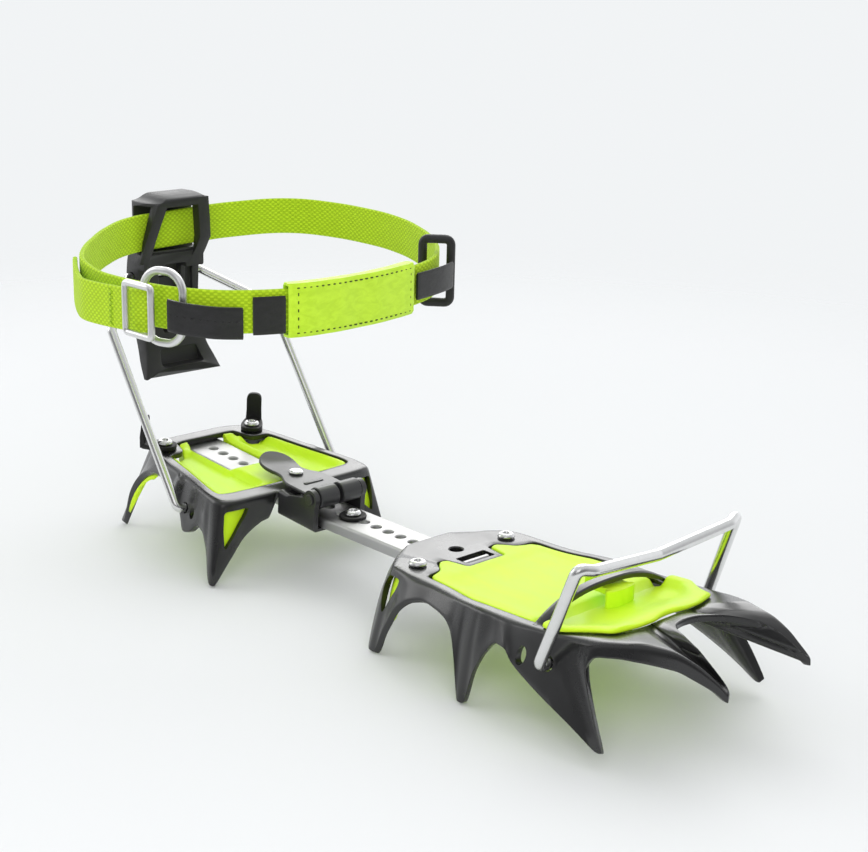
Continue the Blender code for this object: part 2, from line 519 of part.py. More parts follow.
# ---------------------------------------------------------------- length adjuster on the heel section
# A folded bracket wraps the bar in front of the heel frame, and carries the hinge of the lever.
side_out, side_in = 12.6, 10.4
bracket_rings = []
outer = [(-side_out, -9.0), (side_out, -9.0), (side_out, 0.2), (side_out - 1.4, 1.2), (-side_out + 1.4, 1.2), (-side_out, 0.2)]
tube_box = prism("adjuster_bracket", outer, 9.6, 31.5, BLACK_STEEL, "x", True)
inner_cut = prism("cut", [(-side_in, -7.9), (side_in, -7.9), (side_in, -1.2), (-side_in, -1.2)], 5, 40, BLACK_STEEL, "x", True)
top_cut = box("cut", (12.5, -side_in, -4), (40.0, side_in, 5), BLACK_STEEL, True)
combine(tube_box, [inner_cut, top_cut], "DIFFERENCE")
ears = []
for side in (-1, 1):
    ear = [(KNUCKLE_X - 15.6, -1.0), (KNUCKLE_X - 13.0, 0.9), (KNUCKLE_X - 4.6, 3.0)] + [(KNUCKLE_X + 3.6 * math.cos(math.radians(a)), KNUCKLE_Z + 3.6 * math.sin(math.radians(a))) for a in range(150, -31, -18)] + [(31.5, 0.0), (31.5, -3.0), (KNUCKLE_X - 15.6, -3.0)]
    ears.append(prism("ear", ear, side * side_in, side * side_out, BLACK_STEEL, "y", True))
combine(tube_box, ears, "UNION")
combine(tube_box, [prism("cut", round_outline(KNUCKLE_X, KNUCKLE_Z, 1.85, n=16), -20, 20, BLACK_STEEL, "y", True)], "DIFFERENCE")

hinge_pin = prism("adjuster_hinge_pin", round_outline(KNUCKLE_X, KNUCKLE_Z, 1.5, n=16), -13.4, 13.4, BARE_STEEL, "y", True)


def lever_width(x):
    """Half width of the adjuster lever: wide at the hinge, a waist at the rivet, a round thumb tongue behind."""
    table = [(-14.6, 2.6), (-13.4, 5.0), (-11, 6.8), (-7.5, 7.6), (-3.5, 7.0), (0.5, 6.0), (4.5, 7.0), (8, 9.2), (11, 9.9), (25.9, 9.9)]
    for (x0, w0), (x1, w1) in zip(table[:-1], table[1:]):
        if x <= x1:
            return w0 + (w1 - w0) * (x - x0) / (x1 - x0)
    return table[-1][1]


def lever_height(x):
    """Underside of the lever: flat over the frame, then a slight upward sweep at the thumb end."""
    return 2.3 + 0.012 * max(0.0, 2.0 - x) ** 2 * 0.9


rings = []
for x in (-14.6, -13.4, -11, -7.5, -3.5, 0.5, 4.5, 8, 11, 16, 25.9):
    w, z = lever_width(x), lever_height(x)
    rings.append([(x, -w, z), (x, w, z), (x, w, z + 1.5), (x, -w, z + 1.5)])
lever_origin = (KNUCKLE_X, 0, KNUCKLE_Z)
mesh_points = [p for ring in rings for p in ring]
faces = []
for s in range(len(rings) - 1):
    a, b = 4 * s, 4 * s + 4
    faces += [(a + i, a + (i + 1) % 4, b + (i + 1) % 4, b + i) for i in range(4)]
faces += [(3, 2, 1, 0), tuple(range(4 * len(rings) - 4, 4 * len(rings)))]
adjuster_lever = place("adjuster_lever", mesh_of("adjuster_lever", mesh_points, faces, lever_origin), BLACK_STEEL, lever_origin, True)
parts = []
for side in (-1, 1):
    parts.append(prism("knuckle", round_outline(KNUCKLE_X, KNUCKLE_Z, 4.2, n=16), side * 0.9, side * 9.9, BLACK_STEEL, "y", True))
combine(adjuster_lever, parts, "UNION")
combine(adjuster_lever, [prism("cut", round_outline(KNUCKLE_X, KNUCKLE_Z, 1.85, n=16), -20, 20, BLACK_STEEL, "y", True),
                         box("cut", (24.0, -0.9, 0), (34, 0.9, 9), BLACK_STEEL, True),
                         prism("cut", round_outline(4.3, 0, 2.1), 0, 9, BLACK_STEEL, heel=True)], "DIFFERENCE")
# The lock pin hangs from the lever through the frame's front edge, and its tip stands just over a hole of the bar.
lock = [(0, -2.4), (1.4, -2.4), (1.7, -1.8), (1.7, 2.0), (1.75, 2.0), (1.75, 4.15), (2.9, 4.15), (2.9, 4.6), (2.1, 5.2), (0, 5.35)]
lock_pin = turned("adjuster_lock_pin", [(r, z) for r, z in lock], (4.3, 0, 0), BARE_STEEL, 16, True)
combine(heel_frame, [prism("cut", round_outline(4.3, 0, 2.6), -6, 4, BLACK_STEEL, heel=True)], "DIFFERENCE")

# ---------------------------------------------------------------- wires
def both_sides(half):
    """A path given from the near foot to the middle, continued to the far foot."""
    return [(x, -w, z) for x, w, z in half] + [(x, w, z) for x, w, z in reversed(half) if w > 0.01]


bail_half = [(BAIL_X, 33.2, BAIL_Z), (BAIL_X, 40.8, BAIL_Z), (95.2, 38.6, 60.6), (101.2, 36.6, 58.4), (98.2, 28.5, 56.3), (97.0, 0, 54.4)]
wire("toe_bail", rounded_path(both_sides(bail_half), 3.2), BAIL_R, BARE_STEEL, (BAIL_X, 0, BAIL_Z))

heel_half = [(WIRE_X, 33.6, WIRE_Z), (WIRE_X, 40.4, WIRE_Z), (-151.4, 40.0, 85.8), (LEVER_X, 17.6, LEVER_Z), (LEVER_X, 6, LEVER_Z), (LEVER_X, 0, LEVER_Z)]
wire("heel_wire", rounded_path(both_sides(heel_half), 3.4), HEEL_WIRE_R, BARE_STEEL, (WIRE_X, 0, WIRE_Z))

# ---------------------------------------------------------------- heel lever
LEVER = (LEVER_X, 0, LEVER_Z)
lever_sections = [  # (z at the middle, half width, front x, back x)
    (60.0, 18.6, -159.0, -163.8), (65.0, 17.0, -161.2, -168.5), (72.0, 15.0, -164.6, -173.5), (82.0, 14.2, -167.4, -177.6),
    (92.0, 14.6, -168.8, -179.6), (100.5, 15.2, -169.2, -180.0), (107.0, 15.2, -168.0, -179.2), (112.0, 14.6, -164.5, -178.0)]
rings = []
for z, w, xf, xb in lever_sections:
    sag = 5.0 * max(0.0, (66 - z) / 6)
    ring = [(xf, -w, z), (xf + 0.4, -w * 0.4, z + sag), (xf + 0.4, w * 0.4, z + sag), (xf, w, z), (xb + 1.5, w, z), (xb, w * 0.75, z), (xb, -w * 0.75, z), (xb + 1.5, -w, z)]
    rings.append(ring)
heel_lever = tube_along("heel_lever", rings, BLACK_PLASTIC, LEVER)
top = [
    box("back", (-178.0, -14.6, 111), (-173.6, 14.6, 133.5), BLACK_PLASTIC, origin=LEVER),
    prism("hood", [(-177.6, -13.4), (-173.2, -14.4), (-160.4, -9.6), (-160.4, 12.6), (-163, 15.0), (-177.6, 14.0)], 130.6, 134.6, BLACK_PLASTIC, origin=LEVER),
    prism("right_bar", [(9.0, 133.2), (14.2, 133.2), (15.2, 116.5), (13.8, 108), (8.2, 108), (10.0, 116.5)], -165.0, -160.4, BLACK_PLASTIC, "x", origin=LEVER),
    prism("slant_bar", [(-10.6, 131.4), (-5.6, 131.4), (-10.8, 116), (-12.4, 108), (-16.8, 108), (-15.4, 116)], -165.2, -160.6, BLACK_PLASTIC, "x", origin=LEVER),
    box("sill", (-168, -15.2, 106.5), (-163.6, 14.2, 110.6), BLACK_PLASTIC, origin=LEVER),
]
combine(heel_lever, top, "UNION")
lever_cuts = [
    prism("cut", [(-173.0, 110.9), (-165.0, 110.9), (-165.0, 130.2), (-173.0, 130.2)], -30, 30, BLACK_PLASTIC, "y"),
    prism("cut", round_outline(LEVER_X, LEVER_Z, 2.15, n=12), -30, 30, BLACK_PLASTIC, "y"),
    prism("cut", [(-9.0, 70.5), (9.0, 70.5), (10.5, 64.5), (-10.5, 64.5)], -163.6, -155, BLACK_PLASTIC, "x"),
    prism("cut", [(-5.6, 78), (5.6, 78), (5.6, 106), (-5.6, 106)], -172.0, -155, BLACK_PLASTIC, "x"),
]
combine(heel_lever, lever_cuts, "DIFFERENCE")

# ---------------------------------------------------------------- ankle strap
STRAP = [(-168.6, 3, 120.0), (-169.2, 32, 120.5), (-161, 55, 121), (-141, 67, 120.5), (-110, 69.5, 119.8), (-80, 61, 118.5),
         (-57, 47, 117), (-43, 30, 116), (-38, 10, 115), (-36, -12, 114.5), (-36, -36, 114.8), (-40, -58, 115.8),
         (-52, -72, 116.3), (-75, -77, 115.6), (-103, -75.3, 114.8), (-125.5, -68, 116.8), (-149, -45.5, 118.6), (-165, -22, 119.6)]


def strap_at(u, keys=None):
    """Point on the closed strap line, or on an open run of key points; u counts the key points."""
    line = keys or STRAP
    n = len(line)
    if keys:
        u = min(max(u, 0.0), n - 1.0001)
    i, t = int(math.floor(u)), u - math.floor(u)
    p0, p1, p2, p3 = (Vector(line[min(max(i + k, 0), n - 1) if keys else (i + k) % n]) for k in (-1, 0, 1, 2))
    return 0.5 * ((2 * p1) + (p2 - p0) * t + (2 * p0 - 5 * p1 + 4 * p2 - p3) * t * t + (3 * p1 - p0 - 3 * p2 + p3) * t ** 3)


def strap_frame(u, keys=None):
    p = strap_at(u, keys)
    along = (strap_at(u + 0.02, keys) - strap_at(u - 0.02, keys)).normalized()
    out = Vector((along.y, -along.x, 0)).normalized()
    if not keys and out.dot(p - Vector((-103, -8, 116))) < 0:
        out = -out
    return p, along, out


def beside(u, off, lift=0.0):
    """A point beside the strap: so far outwards, and so far up."""
    p, along, out = strap_frame(u)
    return p + out * off + Vector((0, 0, lift))


def band_section(u, off, thick, tall, lift=0.0, keys=None):
    p, along, out = strap_frame(u, keys)
    up = Vector((0, 0, 1))
    c = p + out * off + up * lift
    a, b = out * thick / 2, up * tall / 2
    return [c - a - b, c + a - b, c + a + b, c - a + b]


def band(name, u0, u1, steps, off, thick, tall, mat, closed=False, lift=0.0, keys=None):
    count = steps if closed else steps + 1
    rings = [band_section(u0 + (u1 - u0) * i / steps, off, thick, tall, lift, keys) for i in range(count)]
    return tube_along(name, rings, mat, LEVER, closed)


def sleeve(name, u0, u1, steps, off, inside, outside, tall_in, tall_out, mat):
    """A flat tube round the strap: inner and outer walls and two end faces."""
    rings = []
    for i in range(steps + 1):
        u = u0 + (u1 - u0) * i / steps
        rings.append((band_section(u, off, inside, tall_in), band_section(u, off, outside, tall_out)))
    verts, faces = [], []
    for inner_ring, outer_ring in rings:
        verts += inner_ring + outer_ring
    for s in range(steps):
        a, b = 8 * s, 8 * s + 8
        for i in range(4):
            j = (i + 1) % 4
            faces.append((a + i, b + i, b + j, a + j))
            faces.append((a + 4 + i, a + 4 + j, b + 4 + j, b + 4 + i))
    for s in (0, 8 * steps):
        faces += [(s + i, s + (i + 1) % 4, s + 4 + (i + 1) % 4, s + 4 + i) for i in range(4)]
    return place(name, mesh_of(name, verts, faces, LEVER), mat, LEVER)


n_keys = len(STRAP)
band("ankle_strap", 0, n_keys, 54, 0, WEB_T, WEB_W, LIME_WEBBING, closed=True)
# The free length folds back outside the strap, through the slide ring.
LOOP = [beside(15.0, 2.4, -1.6), beside(14.6, 3.2, -2.0), beside(14.2, 5.2, -2.2), beside(13.8, 7.4, -1.6), (-84.0, -83.8, 113.8), (-70.0, -83.6, 114.8), (-61.0, -82.6, 115.6)]
TAIL = [beside(12.15, 7.8, -0.6), beside(11.9, 8.0, -1.4), beside(11.5, 5.6, -2.6), beside(11.05, 2.9, -3.4)]
KEEPER = [beside(7.62, 2.5), beside(7.2, 3.6), beside(6.9, 5.2), beside(6.62, 6.8)]
band("strap_return", 0.0, 6.0, 16, 0, WEB_T, WEB_W, LIME_WEBBING, keys=LOOP)
band("strap_tail", 0.0, 3.0, 9, 0, 1.6, 11.0, BLACK_RUBBER, keys=TAIL)
band("strap_keeper_front", 10.34, 10.87, 6, 1.75, 1.0, 13.2, BLACK_RUBBER, lift=-1.2)
sleeve("strap_sleeve", 7.7, 10.30, 12, 0.5, 3.2, 5.0, 15.8, 19.0, LIME_WEBBING)
band("strap_keeper_rear", 0.0, 3.0, 8, 0, 1.2, 10.0, BLACK_RUBBER, keys=KEEPER)


def rounded_corners(half_len, half_tall, corner, n=24):
    """A rounded rectangle about its centre."""
    turns = [2 * math.pi * (k + 0.5) / n for k in range(n)]
    return [(math.copysign(half_len - corner, math.cos(a)) + corner * math.cos(a), math.copysign(half_tall - corner, math.sin(a)) + corner * math.sin(a)) for a in turns]


def ring_path(u, off, half_len, half_tall, corner, lift=0.0, tilt=0.0):
    """A rounded rectangle standing along the strap."""
    p, along, out = strap_frame(u)
    along = (along * math.cos(tilt) + out * math.sin(tilt)).normalized()
    up = Vector((0, 0, 1))
    c = p + out * off + up * lift
    points = []
    for k in range(24):
        a = 2 * math.pi * (k + 0.5) / 24
        cx = math.copysign(half_len - corner, math.cos(a)) + corner * math.cos(a)
        cz = math.copysign(half_tall - corner, math.sin(a)) + corner * math.sin(a)
        points.append(c + along * cx + up * cz)
    return points


# The slide ring is a flat bent frame in front of the loop, and the oval ring stands behind it.
wire("strap_slide_ring", [Vector((-60.5, -86.6, 116.6)) + Vector((cx, 0.05 * cx, cz)) for cx, cz in rounded_corners(7.1, 8.6, 1.2)], 1.25, BARE_STEEL, LEVER, True)
wire("strap_oval_ring", ring_path(12.36, 3.3, 8.7, 12.4, 7.4, 0.8, 0.0), 1.4, BARE_STEEL, LEVER, True)
p, along, out = strap_frame(6.4)
wire("strap_end_ring", [p + out * cx + Vector((0, 0, cz)) for cx, cz in rounded_corners(5.4, 12.2, 2.2)], 1.7, BLACK_PLASTIC, LEVER, True)
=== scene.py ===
"""Looks for a strap-on mountaineering crampon: steel frames, lime anti-balling plates, perforated link bar, wires, heel lever and ankle webbing."""

import math

import bmesh
import bpy
from mathutils import Matrix, Vector


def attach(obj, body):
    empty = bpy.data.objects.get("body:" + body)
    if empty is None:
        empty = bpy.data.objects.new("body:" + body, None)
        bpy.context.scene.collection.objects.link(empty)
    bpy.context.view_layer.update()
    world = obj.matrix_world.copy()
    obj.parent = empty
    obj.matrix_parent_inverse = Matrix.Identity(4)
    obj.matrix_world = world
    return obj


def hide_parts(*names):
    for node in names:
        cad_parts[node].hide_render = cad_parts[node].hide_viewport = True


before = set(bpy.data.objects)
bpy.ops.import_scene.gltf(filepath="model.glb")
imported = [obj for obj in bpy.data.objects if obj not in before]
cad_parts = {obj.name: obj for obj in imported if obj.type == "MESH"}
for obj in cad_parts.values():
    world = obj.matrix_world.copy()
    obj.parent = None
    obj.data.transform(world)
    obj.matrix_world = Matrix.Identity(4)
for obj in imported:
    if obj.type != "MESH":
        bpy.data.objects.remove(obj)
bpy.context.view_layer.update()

MM = 0.001
SHIFT = Vector((18.4, 8.735, 0.47))
SHEET = 2.4
HEEL_X, HEEL_Z, HEEL_PITCH = -89.3, 31.7, math.radians(4.0)
BAR_HALF, BAR_T, BAR_FLANGE, BAR_DROP = 9.2, 1.8, 4.2, 3.2
HOLE_PITCH, HOLE_R, BEND_X = 6.85, 1.9, -57.0
BAIL_R, HEEL_WIRE_R = 2.0, 1.8
BAIL_X, BAIL_Z = 85.9, 24.2
WIRE_X, WIRE_Z = -107.6, 22.8
LEVER_X, LEVER_Z = -174.0, 100.5
KNUCKLE_X, KNUCKLE_Z = 28.6, 3.6
WEB_W, WEB_T = 15.0, 1.8


def on_heel(p):
    """Heel coordinates to layout coordinates, mm."""
    c, s = math.cos(HEEL_PITCH), math.sin(HEEL_PITCH)
    return Vector((HEEL_X + p[0] * c + p[2] * s, p[1], HEEL_Z - p[0] * s + p[2] * c))


def metres(p):
    return (Vector(p) + SHIFT) * MM


# ---------------------------------------------------------------- camera
AZ, EL, ROLL = math.radians(46.68), math.radians(16.51), math.radians(1.35)
back = Vector((math.sin(AZ) * math.cos(EL), -math.cos(AZ) * math.cos(EL), math.sin(EL)))
right = Vector((math.cos(AZ), math.sin(AZ), 0))
up = back.cross(right)
cam_r = right * math.cos(ROLL) + up * math.sin(ROLL)
cam_u = -right * math.sin(ROLL) + up * math.cos(ROLL)
cam_at = metres(back * 592 + Vector((0, -6.2, 75.3)))
cam_data = bpy.data.cameras.new("camera")
cam_data.sensor_fit = "HORIZONTAL"
cam_data.sensor_width = 36.0
cam_data.lens = 1700 / 868 * 36.0
cam_data.clip_start, cam_data.clip_end = 0.01, 20
camera = bpy.data.objects.new("camera", cam_data)
bpy.context.scene.collection.objects.link(camera)
camera.matrix_world = Matrix(((cam_r.x, cam_u.x, back.x, cam_at.x), (cam_r.y, cam_u.y, back.y, cam_at.y), (cam_r.z, cam_u.z, back.z, cam_at.z), (0, 0, 0, 1)))
bpy.context.scene.camera = camera


# ---------------------------------------------------------------- node materials
class Look:
    """A Principled material with small helpers for procedural inputs. Coordinates are the object's own, in metres."""

    def __init__(self, name, rough=0.4, metal=0.0):
        self.mat = bpy.data.materials.new(name)
        self.mat.use_nodes = True
        self.tree = self.mat.node_tree
        self.shader = self.tree.nodes["Principled BSDF"]
        self.shader.inputs["Roughness"].default_value = rough
        self.shader.inputs["Metallic"].default_value = metal
        self.coords = self.tree.nodes.new("ShaderNodeTexCoord")

    def put(self, value, socket):
        if isinstance(value, bpy.types.NodeSocket):
            self.tree.links.new(value, socket)
        else:
            socket.default_value = value

    def set(self, **inputs):
        for name, value in inputs.items():
            self.put(value, self.shader.inputs[name.replace("_", " ")])

    def where(self, scale=(1, 1, 1), uv=False, turn=(0, 0, 0)):
        node = self.tree.nodes.new("ShaderNodeMapping")
        self.tree.links.new(self.coords.outputs["UV" if uv else "Object"], node.inputs["Vector"])
        node.inputs["Scale"].default_value = scale
        node.inputs["Rotation"].default_value = turn
        return node.outputs["Vector"]

    def noise(self, scale, detail=3.0, rough=0.5, vector=None, distortion=0.0):
        node = self.tree.nodes.new("ShaderNodeTexNoise")
        self.put(vector or self.where(), node.inputs["Vector"])
        node.inputs["Scale"].default_value = scale
        node.inputs["Detail"].default_value = detail
        node.inputs["Roughness"].default_value = rough
        node.inputs["Distortion"].default_value = distortion
        return node.outputs["Fac"]

    def cells(self, scale, vector=None):
        node = self.tree.nodes.new("ShaderNodeTexVoronoi")
        self.put(vector or self.where(), node.inputs["Vector"])
        node.inputs["Scale"].default_value = scale
        return node.outputs["Distance"]

    def wave(self, scale, axis="X", vector=None, distortion=0.0):
        node = self.tree.nodes.new("ShaderNodeTexWave")
        node.bands_direction = axis
        self.put(vector or self.where(), node.inputs["Vector"])
        node.inputs["Scale"].default_value = scale
        node.inputs["Distortion"].default_value = distortion
        return node.outputs["Fac"]

    def math(self, how, a, b=0.0, c=0.0, clamp=False):
        node = self.tree.nodes.new("ShaderNodeMath")
        node.operation = how
        node.use_clamp = clamp
        for value, socket in zip((a, b, c), node.inputs):
            self.put(value, socket)
        return node.outputs[0]

    def span(self, value, lo, hi, out_lo=0.0, out_hi=1.0):
        node = self.tree.nodes.new("ShaderNodeMapRange")
        node.interpolation_type = "SMOOTHSTEP"
        for name, item in (("Value", value), ("From Min", lo), ("From Max", hi), ("To Min", out_lo), ("To Max", out_hi)):
            self.put(item, node.inputs[name])
        return node.outputs["Result"]

    def mix(self, fac, a, b):
        node = self.tree.nodes.new("ShaderNodeMix")
        node.data_type = "RGBA"
        self.put(fac, node.inputs[0])
        for value, socket in ((a, node.inputs[6]), (b, node.inputs[7])):
            self.put((*value, 1) if isinstance(value, tuple) and len(value) == 3 else value, socket)
        return node.outputs[2]

    def bevel(self, radius, normal=None):
        node = self.tree.nodes.new("ShaderNodeBevel")
        node.samples = 4
        node.inputs["Radius"].default_value = radius
        if normal:
            self.put(normal, node.inputs["Normal"])
        return node.outputs["Normal"]

    def bump(self, height, strength, distance, normal=None):
        node = self.tree.nodes.new("ShaderNodeBump")
        node.inputs["Strength"].default_value = strength
        node.inputs["Distance"].default_value = distance
        self.put(height, node.inputs["Height"])
        if normal:
            self.put(normal, node.inputs["Normal"])
        return node.outputs["Normal"]

    def edges(self, radius, lo=0.02, hi=0.25):
        """1 along a sharp edge and 0 on a flat: how far the rounded normal leans from the true one."""
        soft = self.bevel(radius)
        geo = self.tree.nodes.new("ShaderNodeNewGeometry")
        dot = self.tree.nodes.new("ShaderNodeVectorMath")
        dot.operation = "DOT_PRODUCT"
        self.tree.links.new(soft, dot.inputs[0])
        self.tree.links.new(geo.outputs["Normal"], dot.inputs[1])
        return self.span(self.math("SUBTRACT", 1.0, dot.outputs["Value"]), lo, hi)


def steel_paint(name, tone=0.0085, rough=0.27, coat=0.45):
    """Satin black coat: fine orange peel, uneven sheen, a thin clear skin, and grey where a fold or a cut edge has rubbed."""
    k = Look(name)
    broad = k.noise(45, 4, 0.6)
    fine = k.noise(900, 3, 0.6)
    grain = k.cells(1700)
    scuff = k.noise(160, 6, 0.75, k.where((1, 0.25, 1), turn=(0, 0, 0.6)), 1.2)
    edge = k.edges(0.00045, 0.05, 0.35)
    rub = k.math("MULTIPLY", edge, k.span(scuff, 0.42, 0.68), clamp=True)
    coat_col = k.mix(broad, (tone * 0.75, tone * 0.75, tone * 0.8), (tone * 1.35, tone * 1.35, tone * 1.4))
    coat_col = k.mix(k.span(scuff, 0.64, 0.80, 0, 0.30), coat_col, (tone * 2.2, tone * 2.2, tone * 2.3))
    k.set(Base_Color=k.mix(k.math("MULTIPLY", rub, 0.45), coat_col, (0.16, 0.16, 0.165)))
    k.set(Metallic=k.math("MULTIPLY", rub, 0.5))
    k.set(Roughness=k.math("ADD", k.span(broad, 0.3, 0.7, rough - 0.05, rough + 0.05), k.math("MULTIPLY", fine, 0.06)))
    k.shader.inputs["Specular IOR Level"].default_value = 0.42
    k.shader.inputs["Coat Weight"].default_value = coat
    k.shader.inputs["Coat Roughness"].default_value = 0.16
    height = k.math("ADD", k.math("MULTIPLY", fine, 0.7), k.math("MULTIPLY", grain, 0.3))
    k.set(Normal=k.bump(height, 0.06, 0.00012, k.bevel(0.0004)))
    return k.mat


def bare_metal(name, tone=0.62, rough=0.26, stretch=(1, 1, 1), scale=700, rounding=0.00025, grime=0.3):
    """Bare steel: drawn or rolled grain along one direction, faint smears and slightly darker specks."""
    k = Look(name, rough, 1.0)
    grain = k.noise(scale, 5, 0.7, k.where(stretch))
    smear = k.noise(60, 3, 0.5)
    spots = k.span(k.noise(420, 3, 0.6), 0.68, 0.84)
    base = k.mix(grain, (tone * 0.92, tone * 0.92, tone * 0.92), (tone * 1.08, tone * 1.08, tone * 1.075))
    base = k.mix(k.math("MULTIPLY", smear, 0.35 * grime), base, (tone * 0.80, tone * 0.79, tone * 0.78))
    base = k.mix(k.math("MULTIPLY", spots, 0.5 * grime), base, (tone * 0.65, tone * 0.65, tone * 0.65))
    k.set(Base_Color=base)
    k.set(Roughness=k.math("ADD", k.span(smear, 0.3, 0.7, rough - 0.04, rough + 0.05), k.math("MULTIPLY", grain, 0.06)))
    k.set(Normal=k.bump(grain, 0.05, 0.00006, k.bevel(rounding)))
    return k.mat


def lime_plastic(name):
    """Flexible lime moulding: smooth, slightly waxy, with faint flow marks and paler rubbed edges."""
    k = Look(name, 0.42)
    flow = k.noise(38, 4, 0.55, k.where((1, 2.2, 1)), 0.6)
    fine = k.noise(1300, 3, 0.6)
    pits = k.cells(900)
    edge = k.edges(0.0007)
    base = k.mix(k.span(flow, 0.3, 0.7), (0.58, 0.88, 0.016), (0.65, 0.94, 0.026))
    base = k.mix(k.math("MULTIPLY", edge, 0.5), base, (0.74, 0.98, 0.14))
    k.set(Base_Color=base)
    k.set(Roughness=k.math("ADD", k.span(flow, 0.3, 0.7, 0.36, 0.46), k.math("MULTIPLY", fine, 0.08)))
    k.shader.inputs["Specular IOR Level"].default_value = 0.22
    k.shader.inputs["Subsurface Weight"].default_value = 0.12
    k.shader.inputs["Subsurface Radius"].default_value = (0.0016, 0.0020, 0.0004)
    k.shader.inputs["Subsurface Scale"].default_value = 1.0
    height = k.math("ADD", k.math("MULTIPLY", fine, 0.6), k.math("MULTIPLY", pits, 0.4))
    k.set(Normal=k.bump(height, 0.07, 0.0001, k.bevel(0.0005)))
    return k.mat


def moulded_black(name, tone=0.022, rough=0.5, texture=1.0, spec=0.5):
    """Black moulding: spark-eroded mould texture, a little sheen variation, paler at worn corners."""
    k = Look(name, rough)
    fine = k.noise(1500, 4, 0.65)
    cell = k.cells(1100)
    broad = k.noise(50, 4, 0.6)
    edge = k.edges(0.0008)
    base = k.mix(broad, (tone * 0.8, tone * 0.8, tone * 0.83), (tone * 1.35, tone * 1.35, tone * 1.4))
    base = k.mix(k.math("MULTIPLY", edge, 0.35), base, (tone * 3, tone * 3, tone * 3.1))
    k.set(Base_Color=base)
    k.set(Roughness=k.math("ADD", k.span(broad, 0.3, 0.7, rough - 0.07, rough + 0.05), k.math("MULTIPLY", fine, 0.12)))
    k.shader.inputs["Specular IOR Level"].default_value = spec
    height = k.math("ADD", k.math("MULTIPLY", fine, 0.5), k.math("MULTIPLY", cell, 0.5))
    k.set(Normal=k.bump(height, 0.22 * texture, 0.00015, k.bevel(0.0006)))
    return k.mat


def woven(name, low, high, valley_shade, pitch_u=1.25, pitch_v=0.9375, rough=0.78, spec=0.28):
    """Webbing yarn: UV runs in millimetres along and across, so filaments, picks and slubs keep their true size. The
    valley colour is painted shade in the gaps between the raised yarns.
    """
    k = Look(name, rough)
    along = k.where((1, 1, 1), uv=True)
    split = k.tree.nodes.new("ShaderNodeSeparateXYZ")
    k.tree.links.new(along, split.inputs[0])
    u, v = split.outputs[0], split.outputs[1]
    row = k.math("FLOOR", k.math("DIVIDE", v, pitch_v))
    phase = k.math("MULTIPLY", k.math("MODULO", row, 2.0), math.pi)
    over = k.math("SINE", k.math("ADD", k.math("MULTIPLY", u, math.pi / pitch_u), phase))
    across = k.math("ABSOLUTE", k.math("SINE", k.math("MULTIPLY", v, math.pi / pitch_v)))
    # lit is 1 on the raised yarn and 0 in the gaps between yarns; it drives the relief and the painted shade.
    lit = k.math("MULTIPLY", k.span(over, -0.7, 0.75), k.span(across, 0.05, 0.6))
    strands = k.noise(6.0, 4, 0.7, k.where((0.35, 7.0, 1), uv=True))
    slub = k.noise(0.16, 4, 0.6, k.where((1, 0.6, 1), uv=True))
    fibre = k.noise(9, 4, 0.7, k.where((1, 5.0, 1), uv=True, turn=(0, 0, 0.35)))
    # Raised yarn takes the yarn colour and the gaps between yarns take the darker valley colour: painted shade in the
    # weave.
    base = k.mix(lit, valley_shade, k.mix(strands, low, high))
    base = k.mix(k.span(slub, 0.35, 0.7, 0, 0.30), base, tuple(0.80 * c for c in low))
    k.set(Base_Color=base)
    k.set(Roughness=k.span(strands, 0.3, 0.7, rough - 0.08, rough + 0.1))
    k.shader.inputs["Specular IOR Level"].default_value = spec
    k.shader.inputs["Sheen Weight"].default_value = 0.25
    k.shader.inputs["Sheen Roughness"].default_value = 0.45
    k.shader.inputs["Sheen Tint"].default_value = (0.8, 1.0, 0.3, 1) if high[1] > 0.2 else (0.7, 0.7, 0.72, 1)
    height = k.math("ADD", k.math("MULTIPLY", strands, 0.6), k.math("MULTIPLY", fibre, 0.4))
    height = k.math("ADD", height, k.math("MULTIPLY", lit, 0.8))
    k.set(Normal=k.bump(height, 0.35, 0.00010))
    return k.mat


def coated_fabric(name, low, high, rough=0.5, weave=0.5, tint=None):
    """A coated label fabric: smooth film over a fine weave, with creases and slight colour drift."""
    k = Look(name, rough)
    crease = k.noise(0.22, 5, 0.6, k.where((1, 1.8, 1), uv=True), 0.8)
    film = k.noise(1.6, 4, 0.6, k.where((1, 1, 1), uv=True))
    warp = k.wave(0.95, "X", k.where((1.0, 1.0, 1), uv=True))
    weft = k.wave(0.95, "Y", k.where((1.0, 1.0, 1), uv=True))
    cloth = k.math("MULTIPLY", warp, weft)
    base = k.mix(k.span(crease, 0.3, 0.72), low, high)
    base = k.mix(k.math("MULTIPLY", cloth, 0.18), base, tuple(min(1.0, 1.25 * c) for c in high))
    k.set(Base_Color=base)
    k.set(Roughness=k.span(film, 0.3, 0.7, rough - 0.08, rough + 0.1))
    k.shader.inputs["Sheen Weight"].default_value = 0.12
    height = k.math("ADD", k.math("MULTIPLY", cloth, 0.30), k.math("ADD", k.math("MULTIPLY", crease, 1.6), k.math("MULTIPLY", film, 0.35)))
    k.set(Normal=k.bump(height, weave, 0.00022))
    return k.mat


